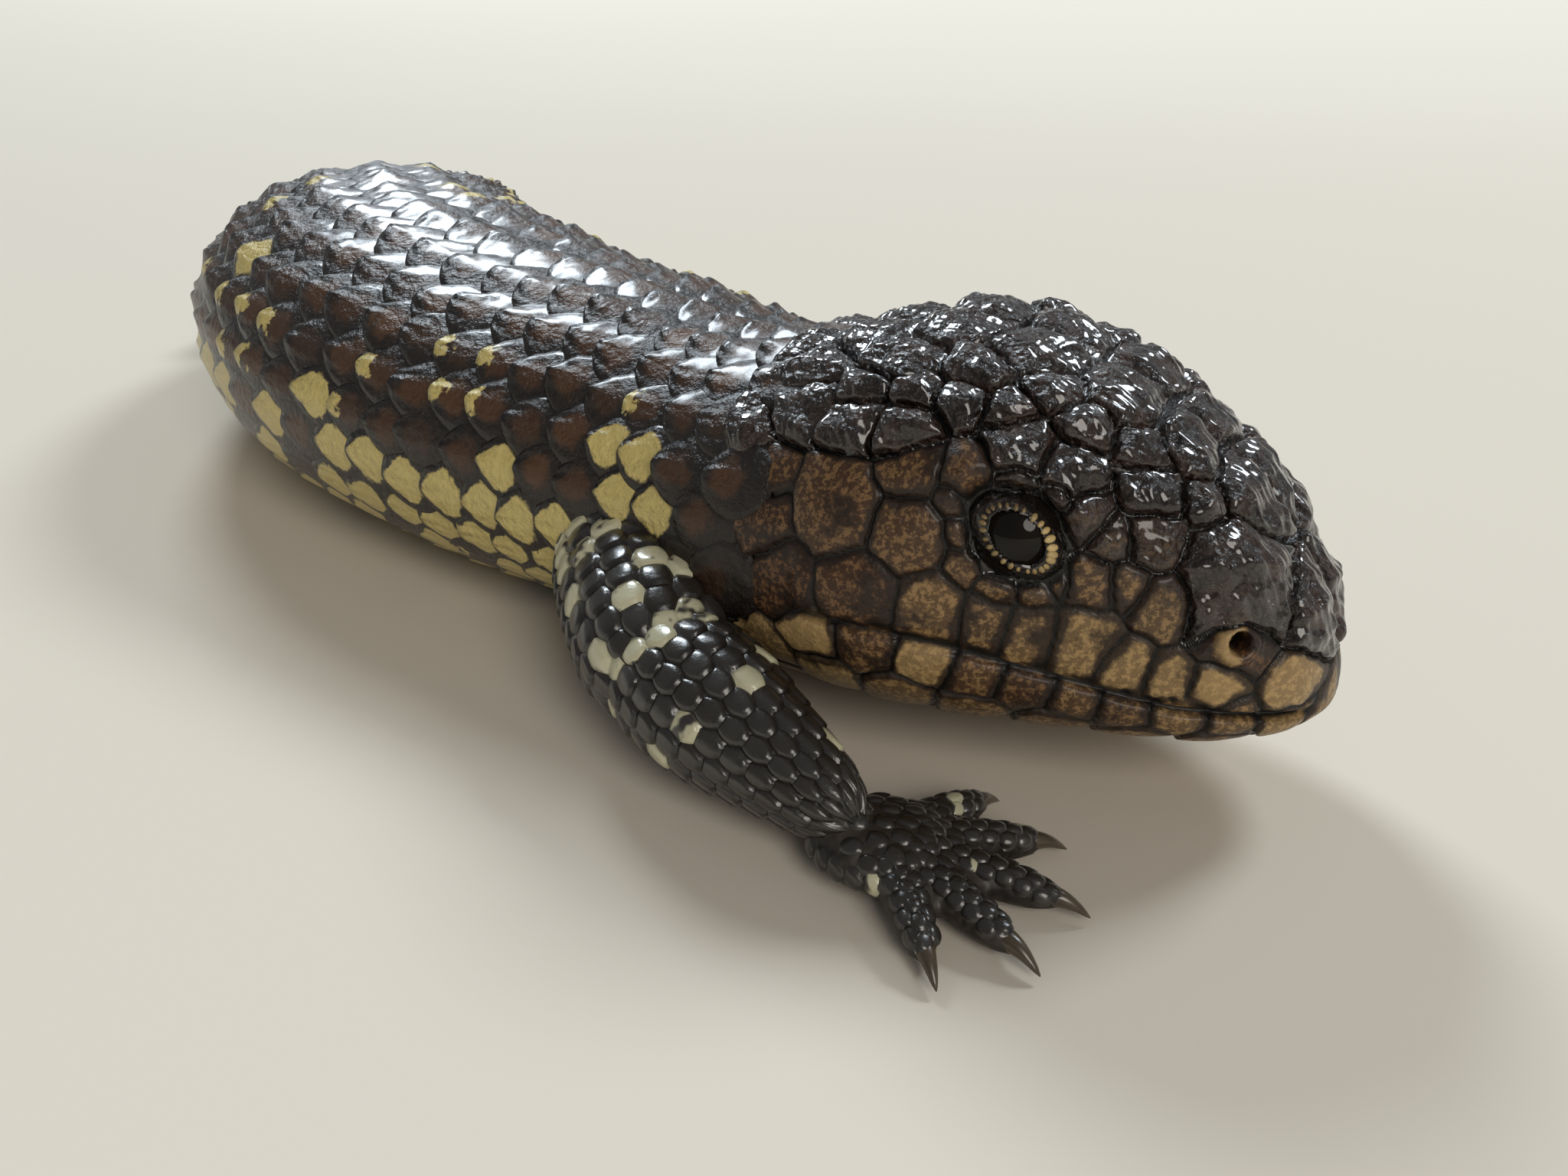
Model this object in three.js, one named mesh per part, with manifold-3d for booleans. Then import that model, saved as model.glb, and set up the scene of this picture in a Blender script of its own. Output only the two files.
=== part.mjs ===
// A life-size shingleback lizard, the stump-tailed kind of blue-tongued skink, lying on the floor
// with its head turned and its trunk bent in a long curve. Millimetres, +Z up, floor at z = 0.
// Every place on the animal is given by its distance along the spine from the snout, and by an
// angle round the body: 0 is the animal's right side, 90 the middle of its back.
import * as THREE from "three";
import { mergeVertices } from "three/addons/utils/BufferGeometryUtils.js";
import Module from "manifold-3d";

const wasm = await Module();
wasm.setup();

// Driving dimensions
const HEAD_LENGTH = 64;
const HEAD_HALF_WIDTH = 27.5;
const TRUNK_HALF_WIDTH = 36.5;
const TAIL_HALF_WIDTH = 20;
const VENT_AT = 300;
const TOTAL_LENGTH = 378;
const GAP = 0.3;
const SNOUT_PLACE = { x: 109.6, y: -140.6 };
const SNOUT_HEADING = 149;
const BELLY_SINK = 0.7;

// The bends of the spine: where each begins and ends, and the degrees it turns
const SPINE_BENDS = [
  { from: 50, to: 84, turn: -14 },
  { from: 130, to: 245, turn: -35 },
  { from: 285, to: 378, turn: -22 },
];

// Sections along the spine. half is the half width, above and below are heights from the middle
// line, and middle is that line's height over the floor: on the head it is the mouth line.
const SECTIONS = [
  { at: 0, half: 14, above: 13, below: 5.6, middle: 14.8, fullness: 2.3 },
  { at: 7, half: 14.8, above: 16.9, below: 6.5, middle: 16.2, fullness: 2.6 },
  { at: 15, half: 17.8, above: 22.6, below: 8.6, middle: 17, fullness: 3 },
  { at: 27, half: 22.2, above: 27, below: 12.9, middle: 19.7, fullness: 3.2 },
  { at: 38, half: 25.8, above: 28, below: 16, middle: 21.6, fullness: 2.9 },
  { at: 49, half: HEAD_HALF_WIDTH, above: 27.1, below: 17.2, middle: 22.2, fullness: 2.5 },
  { at: HEAD_LENGTH, half: 25.4, above: 24.2, below: 16.2, middle: 21, fullness: 2.2 },
  { at: 76, half: 25, above: 22.2, below: 16.9, middle: 21, fullness: 2.1 },
  { at: 96, half: 28.5, above: 23, below: 19.5, middle: 21, fullness: 2.1 },
  { at: 122, half: 33, above: 22.8, below: 22 + BELLY_SINK, middle: 22, fullness: 2.1 },
  { at: 160, half: TRUNK_HALF_WIDTH, above: 25.2, below: 23 + BELLY_SINK, middle: 23, fullness: 2.1 },
  { at: 205, half: TRUNK_HALF_WIDTH, above: 27, below: 23 + BELLY_SINK, middle: 23, fullness: 2.1 },
  { at: 245, half: 34, above: 23.5, below: 21 + BELLY_SINK, middle: 21, fullness: 2.1 },
  { at: 275, half: 27, above: 20, below: 18.4 + BELLY_SINK, middle: 18.4, fullness: 2.1 },
  { at: VENT_AT, half: 20, above: 17, below: 16.2 + BELLY_SINK, middle: 16.2, fullness: 2.1 },
  { at: 325, half: TAIL_HALF_WIDTH, above: 17, below: 15.8 + BELLY_SINK, middle: 15.8, fullness: 2.1 },
  { at: 348, half: 19, above: 15, below: 14.6 + BELLY_SINK, middle: 14.6, fullness: 2.1 },
  { at: TOTAL_LENGTH, half: 13, above: 10, below: 11 + BELLY_SINK, middle: 11, fullness: 2.1 },
];
const SNOUT_ROUNDING = 11;
const TAIL_ROUNDING = 24;
const BELLY_FULLNESS = 2.35;

// Swellings and hollows of the head, the same on both sides
const HEAD_FORMS = [
  { name: "brow", at: 30, angle: 50, reach: 9, spread: 14, rise: 1.2 },
  { name: "cheek", at: 50, angle: 8, reach: 10, spread: 28, rise: 1.6 },
  { name: "face in front of the eye", at: 17, angle: 30, reach: 6, spread: 16, rise: -1.2 },
  { name: "snout ridge", at: 11, angle: 58, reach: 6, spread: 14, rise: 0.8 },
  { name: "orbit", at: 30.5, angle: 21, reach: 7, spread: 13, rise: -1.2 },
  { name: "nostril swelling", at: 9, angle: 21.5, reach: 3, spread: 14, rise: 0.9 },
];
const EYE = { at: 30.5, angle: 21.2, radius: 5, depth: 3.2, lid: 1.2 };
const NOSTRIL = { at: 9.1, angle: 21.5, radius: 1, depth: 2.4 };
const EAR = { at: 60.5, angle: -2, along: 1.1, tall: 3.2, depth: 3 };
const MOUTH_CORNER_AT = 52;
const JAW_BACK_AT = 56.5;

// Rows of head shields on one side: both ends of each row as distance and angle, the number in it
// and its weight in millimetres, which makes a shield larger than its neighbours
const SHIELD_ROWS = [
  { name: "rostral", from: [0.5, 90], to: [0.5, 90], count: 1, weight: 2 },
  { name: "upper labials", from: [10, 5.5], to: [56, 6.5], count: 8, weight: 1 },
  { name: "lower labials", from: [8, -10], to: [51, -7], count: 8, weight: 0.5 },
  { name: "chin shields", from: [10, -52], to: [50, -52], count: 5, weight: 2 },
  { name: "nasal", from: [9.2, 23], to: [9.2, 23], count: 1, weight: 1.5 },
  { name: "loreals", from: [15.8, 21.5], to: [20.5, 20], count: 2, weight: 0.8 },
  { name: "great nose shield", from: [10, 43], to: [10, 43], count: 1, weight: 4.5 },
  { name: "snout shields", from: [11, 78], to: [11, 78], count: 1, weight: 1.4 },
  { name: "brow front", from: [18, 37.5], to: [19.6, 52.5], count: 2, weight: 1.4 },
  { name: "frontals", from: [18, 76], to: [36, 80], count: 3, weight: 1.2 },
  { name: "supraoculars", from: [26, 44], to: [33, 46], count: 2, weight: 1.4 },
  { name: "inner supraoculars", from: [27.3, 62], to: [35, 60], count: 2, weight: 1 },
  { name: "brow shields", from: [24, 33.5], to: [31.6, 34.4], count: 2, weight: 0.6 },
  { name: "eye", from: [30.5, 21.2], to: [30.5, 21.2], count: 1, weight: 3 },
  { name: "shields under the eye", from: [24, 14], to: [35, 11.5], count: 3, weight: -0.3 },
  { name: "shields behind the eye", from: [36.5, 21], to: [36.6, 33], count: 2, weight: 0 },
  { name: "temples", from: [41.3, 18], to: [58.5, 20.5], count: 3, weight: 2.4 },
  { name: "upper temples", from: [42, 34], to: [58.9, 32], count: 2, weight: 1.6 },
  { name: "glossy row", from: [43.9, 44], to: [62, 46], count: 3, weight: 1.8 },
  { name: "crown shields", from: [40, 60], to: [59, 66], count: 3, weight: 1.6 },
  { name: "nape shields", from: [45.5, 82], to: [64, 80], count: 3, weight: 1.4 },
  { name: "jaw corner", from: [57, -8], to: [61, -34], count: 2, weight: 1 },
];
const SHIELD_RISE = 1.7;
const SHIELD_EDGE = 2.6;
const HEAD_RINGS = 27;
const HEAD_SIDES = 46;

// Pine-cone scales of the trunk and tail
const TRUNK_COLUMNS = 20;
const TAIL_COLUMNS = 12;
const NECK_SCALE_LENGTH = 8;
const TRUNK_SCALE_LENGTH = 11;
const TAIL_SCALE_LENGTH = 10;
const BACK_SCALE_LIFT = 2.8;
const FLANK_SCALE_LIFT = 1.5;
const BELLY_ANGLES = [196, 344];

// Legs: joints given as distance along the spine, out from the spine and height over the floor
const LEG_COLUMNS = 8;
const LEG_SCALE_LENGTH = 9;
const LEG_SCALE_LIFT = 0.8;
const LEG_CLEARANCE = 2.6;
const FRONT_RADII = { root: 9.5, elbow: 8.6, wrist: 6.2 };
const HIND_RADII = { root: 11.5, elbow: 9.6, wrist: 6.6 };
const LEGS = [
  {
    name: "front_right",
    side: 1,
    root: { at: 83, out: 18, height: 16 },
    elbow: { at: 65, out: 32, height: 12.5 },
    wrist: { at: 43, out: 37.5, height: 7.5 },
    palm: { at: 37, out: 36.5, height: 4 },
    radii: FRONT_RADII,
  },
  {
    name: "front_left",
    side: -1,
    root: { at: 91, out: 16, height: 18 },
    elbow: { at: 90, out: 41, height: 15 },
    wrist: { at: 67, out: 45, height: 7.5 },
    palm: { at: 59, out: 46, height: 4 },
    radii: FRONT_RADII,
  },
  {
    name: "hind_right",
    side: 1,
    root: { at: 278, out: 12, height: 15 },
    elbow: { at: 266, out: 36, height: 14 },
    wrist: { at: 289, out: 41, height: 7.5 },
    palm: { at: 299, out: 42, height: 4 },
    radii: HIND_RADII,
  },
  {
    name: "hind_left",
    side: -1,
    root: { at: 278, out: 12, height: 15 },
    elbow: { at: 266, out: 36, height: 14 },
    wrist: { at: 289, out: 41, height: 7.5 },
    palm: { at: 299, out: 42, height: 4 },
    radii: HIND_RADII,
  },
];
const TOES = [
  { turn: -58, length: 8 },
  { turn: -28, length: 10.5 },
  { turn: 0, length: 12 },
  { turn: 27, length: 11 },
  { turn: 56, length: 8 },
];
const TOE_RADIUS = 2.1;
const CLAW_LENGTH = 3.8;
const PALM_HALF_WIDTH = 7;

// Where the body is parted
const BODY_NODES = [
  { name: "neck", from: HEAD_LENGTH, to: 98 },
  { name: "torso_front", from: 98, to: 160 },
  { name: "torso_middle", from: 160, to: 222 },
  { name: "torso_rear", from: 222, to: VENT_AT },
];
const TAIL_NODES = [
  { name: "tail_base", from: VENT_AT, to: 340 },
  { name: "tail_tip", from: 340, to: TOTAL_LENGTH + 5 },
];

const COLOURS = {
  head: 0x8a6b4c,
  jaw: 0xb59a78,
  eye: 0x17110d,
  body: 0x33281f,
  tail: 0x3b2f25,
  leg: 0x3a3732,
};

// Small mathematics
const radians = (degrees) => (degrees * Math.PI) / 180;
const clamp01 = (t) => Math.min(1, Math.max(0, t));
const easeInOut = (t) => clamp01(t) ** 2 * (3 - 2 * clamp01(t));
const mix = (a, b, t) => a + (b - a) * t;
const bell = (distance, reach) => Math.exp(-((distance / reach) ** 2));

// The spine on the floor plan
function headingAt(at) {
  let degrees = SNOUT_HEADING;
  for (const bend of SPINE_BENDS) {
    degrees += bend.turn * easeInOut((at - bend.from) / (bend.to - bend.from));
  }
  return radians(degrees);
}

const spinePlan = [{ ...SNOUT_PLACE }];
for (let at = 0; at < TOTAL_LENGTH + 2; at++) {
  const heading = headingAt(at + 0.5);
  const last = spinePlan[at];
  spinePlan.push({ x: last.x + Math.cos(heading), y: last.y + Math.sin(heading) });
}

// A point in the cross plane at a place along the spine, side to the right and up from the floor
function fromSpine(at, side, height) {
  const heading = headingAt(at);
  const step = Math.min(spinePlan.length - 2, Math.max(0, Math.floor(at)));
  const near = spinePlan[step];
  const far = spinePlan[step + 1];
  return new THREE.Vector3(
    mix(near.x, far.x, at - step) - Math.sin(heading) * side,
    mix(near.y, far.y, at - step) + Math.cos(heading) * side,
    height,
  );
}

// A smooth line through the sections' values of one kind
function sectionValue(key, at) {
  const last = SECTIONS.length - 1;
  let i = 0;
  while (i < last - 1 && SECTIONS[i + 1].at < at) i++;
  const slope = (k) => {
    const before = SECTIONS[Math.max(0, k - 1)];
    const after = SECTIONS[Math.min(last, k + 1)];
    return (after[key] - before[key]) / (after.at - before.at);
  };
  const a = SECTIONS[i];
  const b = SECTIONS[i + 1];
  const span = b.at - a.at;
  const t = clamp01((at - a.at) / span);
  const bend = slope(i) * span * t * (1 - t) ** 2 - slope(i + 1) * span * t * t * (1 - t);
  return mix(a[key], b[key], easeInOut(t)) + bend;
}

function endRounding(at) {
  const snout = clamp01(at / SNOUT_ROUNDING);
  const tail = clamp01((TOTAL_LENGTH - at) / TAIL_ROUNDING);
  return Math.sqrt(1 - (1 - snout) ** 2) * Math.sqrt(1 - (1 - tail) ** 2);
}

// A point of the smooth skin, raised by lift
function skinPoint(at, degrees, lift) {
  const angle = radians(degrees);
  const top = Math.sin(angle) >= 0;
  const power = 2 / (top ? sectionValue("fullness", at) : BELLY_FULLNESS);
  const across = Math.sign(Math.cos(angle)) * Math.abs(Math.cos(angle)) ** power;
  const up = Math.sign(Math.sin(angle)) * Math.abs(Math.sin(angle)) ** power;
  const round = endRounding(at);
  const half = sectionValue("half", at) * round + lift * Math.min(1, 4 * round);
  const tall = sectionValue(top ? "above" : "below", at) * round + lift * Math.min(1, 4 * round);
  return fromSpine(at, across * half, sectionValue("middle", at) + up * tall);
}

function outwardAt(at, degrees) {
  const here = skinPoint(at, degrees, 0);
  const along = skinPoint(at + 0.5, degrees, 0).sub(here);
  const round = skinPoint(at, degrees + 1, 0).sub(here);
  return round.cross(along).normalize();
}

// Solids
function geometryOf(points, faces) {
  const geometry = new THREE.BufferGeometry();
  geometry.setAttribute("position", new THREE.Float32BufferAttribute(points.flat(), 3));
  geometry.setIndex(faces.flat());
  return geometry;
}

function solidOf(geometry) {
  const bare = new THREE.BufferGeometry();
  bare.setAttribute("position", geometry.getAttribute("position"));
  bare.setIndex(geometry.index);
  const merged = mergeVertices(bare, 1e-4);
  return new wasm.Manifold(
    new wasm.Mesh({
      numProp: 3,
      vertProperties: merged.attributes.position.array,
      triVerts: new Uint32Array(merged.index.array),
    }),
  );
}

function largestOf(solid) {
  return solid.decompose().reduce((best, piece) => (piece.volume() > best.volume() ? piece : best));
}

// Closes an open tube of faces with a fan at each end
function closeEnds(points, faces) {
  const open = new Map();
  for (const face of faces) {
    for (let i = 0; i < 3; i++) {
      const a = face[i];
      const b = face[(i + 1) % 3];
      if (!open.delete(`${b}:${a}`)) open.set(`${a}:${b}`, [a, b]);
    }
  }
  const nextOf = new Map([...open.values()]);
  while (nextOf.size > 0) {
    const loop = [nextOf.keys().next().value];
    while (nextOf.get(loop.at(-1)) !== loop[0]) loop.push(nextOf.get(loop.at(-1)));
    const centre = [0, 1, 2].map((k) => loop.reduce((sum, v) => sum + points[v][k], 0) / loop.length);
    points.push(centre);
    loop.forEach((v) => {
      faces.push([nextOf.get(v), v, points.length - 1]);
    });
    loop.forEach((v) => nextOf.delete(v));
  }
}

// A tube of plain rings, closed at both ends
function ringedSurface(rings, sides, place) {
  const points = [];
  const faces = [];
  for (let ring = 0; ring < rings; ring++) {
    for (let side = 0; side < sides; side++) {
      const p = place(ring, (side / sides) * 360);
      points.push([p.x, p.y, p.z]);
      if (ring === 0) continue;
      const next = (side + 1) % sides;
      const [a, b] = [(ring - 1) * sides + side, (ring - 1) * sides + next];
      const [c, d] = [ring * sides + side, ring * sides + next];
      faces.push([a, b, d], [a, d, c]);
    }
  }
  closeEnds(points, faces);
  return solidOf(geometryOf(points, faces));
}

// A tube of overlapping scales. Each scale is a cell whose front and side corners lie level with
// the skin, and whose raised hind edge steps down on to the next scales.
function scaledSurface(rows, columns, place, liftAt) {
  const points = [];
  const faces = [];
  const known = new Map();
  const vertex = (row, column, lift) => {
    const ring = ((column % columns) + columns) % columns;
    const key = `${row.toFixed(2)}:${ring.toFixed(2)}:${lift > 0}`;
    if (!known.has(key)) {
      known.set(key, points.length);
      const p = place(row + (lift > 0 ? 0.04 : 0), (ring / columns) * 360, lift);
      points.push([p.x, p.y, p.z]);
    }
    return known.get(key);
  };
  for (let column = 0; column < columns; column++) {
    for (let row = column % 2 ? 1 : 0.5; row + 0.5 <= rows; row++) {
      const lift = liftAt(row + 0.5, (column / columns) * 360);
      const corner = (along, across, rise = 0) => vertex(row + along, column + across, rise);
      const [sideA, sideB] = [corner(0, -0.62), corner(0, 0.62)];
      const [frontA, front, frontB] = [corner(-0.5, -0.38), corner(-0.4, 0), corner(-0.5, 0.38)];
      const [rearA, rear, rearB] = [corner(0.5, -0.38), corner(0.6, 0), corner(0.5, 0.38)];
      const topA = lift > 0 ? corner(0.5, -0.38, 0.75 * lift) : rearA;
      const topB = lift > 0 ? corner(0.5, 0.38, 0.75 * lift) : rearB;
      const tip = lift > 0 ? corner(0.6, 0, 1.15 * lift) : rear;
      faces.push([front, frontB, tip], [frontB, sideB, topB], [frontB, topB, tip]);
      faces.push([frontA, front, tip], [sideA, frontA, topA], [frontA, tip, topA]);
      if (lift <= 0) continue;
      faces.push([sideB, rearB, topB], [topB, rearB, rear], [topB, rear, tip]);
      faces.push([rearA, sideA, topA], [rearA, topA, tip], [rearA, tip, rear]);
    }
  }
  closeEnds(points, faces);
  return solidOf(geometryOf(points, faces));
}

// Distances along the spine at which rows of scales begin
function rowsBetween(from, to, lengthAt) {
  const starts = [from];
  while (starts.at(-1) < to) starts.push(starts.at(-1) + lengthAt(starts.at(-1)));
  return starts;
}

function alongRows(starts, row) {
  const step = Math.min(starts.length - 2, Math.floor(row));
  return mix(starts[step], starts[step + 1], row - step);
}

function bodyScaleLift(degrees) {
  const [first, last] = BELLY_ANGLES;
  if (degrees > first && degrees < last) return 0;
  return mix(FLANK_SCALE_LIFT, BACK_SCALE_LIFT, easeInOut(Math.sin(radians(degrees)) * 1.3));
}

function trunkSolid() {
  const neckToTrunk = (at) => easeInOut((at - HEAD_LENGTH) / 60);
  const starts = rowsBetween(HEAD_LENGTH - 13, VENT_AT + 10, (at) =>
    mix(NECK_SCALE_LENGTH, TRUNK_SCALE_LENGTH, neckToTrunk(at)),
  );
  return scaledSurface(
    starts.length - 1,
    TRUNK_COLUMNS,
    (row, degrees, lift) => skinPoint(alongRows(starts, row), degrees, lift),
    (row, degrees) => bodyScaleLift(degrees) * mix(0.6, 1, neckToTrunk(alongRows(starts, row))),
  );
}

function tailSolid() {
  const starts = rowsBetween(VENT_AT - 12, TOTAL_LENGTH - 3, () => TAIL_SCALE_LENGTH);
  return scaledSurface(
    starts.length - 1,
    TAIL_COLUMNS,
    (row, degrees, lift) => {
      const at = Math.min(TOTAL_LENGTH - 0.6, alongRows(starts, row));
      return skinPoint(at, degrees, lift * clamp01((TOTAL_LENGTH - at) / 12));
    },
    (row, degrees) => bodyScaleLift(degrees) * 0.9,
  );
}

// The part of a solid between two places along the spine, and over the floor
function lengthOf(solid, from, to) {
  const cut = (at, sign) => {
    const heading = headingAt(at);
    const place = fromSpine(at, 0, 0);
    const normal = [sign * Math.cos(heading), sign * Math.sin(heading), 0];
    return [normal, normal[0] * place.x + normal[1] * place.y];
  };
  const piece = solid.trimByPlane(...cut(from + GAP / 2, 1)).trimByPlane(...cut(to - GAP / 2, -1));
  return largestOf(piece.trimByPlane([0, 0, 1], 0));
}

// Head shields
const shields = [];
for (const row of SHIELD_ROWS) {
  for (let i = 0; i < row.count; i++) {
    const t = row.count > 1 ? i / (row.count - 1) : 0;
    const at = mix(row.from[0], row.to[0], t);
    const angle = mix(row.from[1], row.to[1], t);
    const rise = row.name === "eye" ? 0 : SHIELD_RISE;
    shields.push({ centre: skinPoint(at, angle, 0), weight: row.weight, rise });
    if (angle === 90) continue;
    shields.push({ centre: skinPoint(at, 180 - angle, 0), weight: row.weight, rise });
  }
}

function shieldLift(point) {
  let nearest = { distance: Infinity, rise: 0 };
  let second = Infinity;
  for (const shield of shields) {
    const distance = point.distanceTo(shield.centre) - shield.weight;
    if (distance < nearest.distance) {
      second = nearest.distance;
      nearest = { distance, rise: shield.rise };
    } else if (distance < second) {
      second = distance;
    }
  }
  return nearest.rise * easeInOut((second - nearest.distance) / (2 * SHIELD_EDGE));
}

const eyes = [EYE.angle, 180 - EYE.angle].map((angle) => skinPoint(EYE.at, angle, 0));

function headPoint(at, degrees) {
  const here = skinPoint(at, degrees, 0);
  let lift = shieldLift(here) - 0.5 * SHIELD_RISE;
  for (const form of HEAD_FORMS) {
    for (const angle of [form.angle, 180 - form.angle]) {
      const turn = ((degrees - angle + 540) % 360) - 180;
      lift += form.rise * bell(at - form.at, form.reach) * bell(turn, form.spread);
    }
  }
  const fromEye = Math.min(...eyes.map((eye) => here.distanceTo(eye)));
  return skinPoint(at, degrees, lift * clamp01(at / 3) * easeInOut((fromEye - 4) / 5));
}

const sideOf = (degrees, side) => (side > 0 ? degrees : 180 - degrees);

function placedOn(geometry, at, degrees, depth) {
  const outward = outwardAt(at, degrees);
  const turn = new THREE.Quaternion().setFromUnitVectors(new THREE.Vector3(0, 0, 1), outward);
  const place = skinPoint(at, degrees, 0).addScaledVector(outward, -depth);
  return solidOf(geometry.applyQuaternion(turn).translate(place.x, place.y, place.z));
}

function eyeball(side, swell) {
  const ball = new THREE.SphereGeometry(EYE.radius + swell, 14, 9);
  return placedOn(ball, EYE.at, sideOf(EYE.angle, side), EYE.depth);
}

// Everything under the mouth line and ahead of the jaw's hinge, drawn in by inset
function jawSpace(inset) {
  const outline = new THREE.Shape();
  outline.moveTo(-8, -8);
  for (let at = -8; at <= MOUTH_CORNER_AT; at += 4) {
    outline.lineTo(at, sectionValue("middle", Math.max(0, at)) - inset);
  }
  outline.lineTo(JAW_BACK_AT - inset, sectionValue("middle", MOUTH_CORNER_AT) - 2 - inset);
  outline.lineTo(JAW_BACK_AT - inset, -8);
  const space = new THREE.ExtrudeGeometry(outline, { depth: 90, bevelEnabled: false });
  const heading = headingAt(0);
  const tailward = new THREE.Vector3(Math.cos(heading), Math.sin(heading), 0);
  const left = new THREE.Vector3(Math.sin(heading), -Math.cos(heading), 0);
  const up = new THREE.Vector3(0, 0, 1);
  const corner = fromSpine(0, 45, 0);
  space.applyMatrix4(new THREE.Matrix4().makeBasis(tailward, up, left).setPosition(corner));
  return solidOf(space);
}

function headSolid() {
  const ringAt = (ring) => (HEAD_LENGTH + 3) * ((ring + 0.25) / (HEAD_RINGS - 0.75)) ** 1.35;
  const angleOf = (degrees) => degrees + 14 * Math.cos(radians(degrees));
  const place = (ring, degrees) => headPoint(ringAt(ring), angleOf(degrees));
  let head = ringedSurface(HEAD_RINGS, HEAD_SIDES, place);
  for (const side of [1, -1]) {
    const lid = new THREE.TorusGeometry(EYE.radius - 0.6, EYE.lid, 6, 16).scale(1.1, 0.95, 1);
    const cavity = new THREE.CylinderGeometry(NOSTRIL.radius, NOSTRIL.radius, NOSTRIL.depth * 2, 8);
    const ear = new THREE.SphereGeometry(1, 8, 6).scale(EAR.along, EAR.tall, EAR.depth);
    head = head
      .add(placedOn(lid, EYE.at, sideOf(EYE.angle, side), 0.4))
      .subtract(eyeball(side, GAP))
      .subtract(placedOn(cavity.rotateX(Math.PI / 2), NOSTRIL.at, sideOf(NOSTRIL.angle, side), 0))
      .subtract(placedOn(ear, EAR.at, sideOf(EAR.angle, side), 0));
  }
  return head;
}

// Legs
const legPoint = (leg, joint) => fromSpine(joint.at, leg.side * joint.out, joint.height);

// One length of a leg between two joints, rounded at both ends
function limbSolid(from, to, thick, thin, swell, scaled) {
  const axis = to.clone().sub(from);
  const length = axis.length() + 0.7 * (thick + thin);
  axis.normalize();
  const start = from.clone().addScaledVector(axis, -0.7 * thick);
  const side = new THREE.Vector3(0, 0, 1).cross(axis).normalize();
  const over = axis.clone().cross(side);
  const rows = Math.round(length / LEG_SCALE_LENGTH);
  const place = (row, degrees, lift) => {
    const t = mix(0.02, 0.98, clamp01(row / rows));
    const ends = Math.sqrt(1 - Math.abs(2 * t - 1) ** 4);
    const radius = mix(thick, thin, t) * (1 + 0.1 * Math.sin(Math.PI * t)) * ends + lift * ends + swell;
    return start
      .clone()
      .addScaledVector(axis, t * length)
      .addScaledVector(side, radius * Math.cos(radians(degrees)))
      .addScaledVector(over, radius * Math.sin(radians(degrees)));
  };
  if (scaled) return scaledSurface(rows, LEG_COLUMNS, place, () => LEG_SCALE_LIFT);
  return ringedSurface(rows + 3, 10, (ring, degrees) => place((ring * rows) / (rows + 2), degrees, 0));
}

// A tapered, rounded finger between two points, thick then thin
function taperedRod(from, to, thick, thin, rings, sides) {
  const along = to.clone().sub(from);
  const length = along.length();
  const profile = [];
  for (let i = 0; i <= rings; i++) {
    const t = i / rings;
    const radius = mix(thick, thin, t) * Math.sqrt(Math.max(0.0004, 1 - (2 * t - 1) ** 8));
    profile.push(new THREE.Vector2(i === 0 || i === rings ? 0 : radius, t * length));
  }
  const turn = new THREE.Quaternion().setFromUnitVectors(new THREE.Vector3(0, 1, 0), along.normalize());
  return solidOf(
    new THREE.LatheGeometry(profile, sides).applyQuaternion(turn).translate(from.x, from.y, from.z),
  );
}

function footSolid(leg) {
  const palm = legPoint(leg, leg.palm);
  const forward = palm.clone().sub(legPoint(leg, leg.wrist));
  const heading = Math.atan2(forward.y, forward.x);
  const pad = new THREE.SphereGeometry(1, 8, 5).scale(8.5, PALM_HALF_WIDTH, 4.2);
  let foot = solidOf(pad.rotateZ(heading).translate(palm.x, palm.y, 3.4));
  for (const toe of TOES) {
    const angle = heading - radians(leg.side * toe.turn);
    const along = new THREE.Vector3(Math.cos(angle), Math.sin(angle), 0);
    const toePoint = (reach, height) => palm.clone().addScaledVector(along, reach).setZ(height);
    const [knuckle, tip] = [toePoint(4.5, 3.6), toePoint(6 + toe.length, 1.9)];
    const [quick, point] = [toePoint(4.4 + toe.length, 2.2), toePoint(6 + toe.length + CLAW_LENGTH, 0.8)];
    foot = foot
      .add(taperedRod(knuckle, tip, 1.15 * TOE_RADIUS, 0.9 * TOE_RADIUS, 3, 6))
      .add(taperedRod(quick, point, 0.6 * TOE_RADIUS, 0.16 * TOE_RADIUS, 2, 4));
  }
  return foot;
}

function legNodes(leg, body) {
  const [root, elbow, wrist] = [leg.root, leg.elbow, leg.wrist].map((joint) => legPoint(leg, joint));
  const finish = (solid) => largestOf(solid.subtract(body).trimByPlane([0, 0, 1], 0));
  const upper = limbSolid(root, elbow, leg.radii.root, leg.radii.elbow, LEG_SCALE_LIFT, false);
  const lower = limbSolid(elbow, wrist, leg.radii.elbow, leg.radii.wrist, 0, true);
  const lowerSpace = limbSolid(elbow, wrist, leg.radii.elbow, leg.radii.wrist, 1.6 * LEG_SCALE_LIFT + GAP, false);
  return {
    upper: finish(upper.subtract(lowerSpace)),
    lower: finish(lower),
    foot: finish(footSolid(leg).subtract(lowerSpace)),
  };
}

// The finished group
const lizard = new THREE.Group();
lizard.name = "shingleback";

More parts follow.
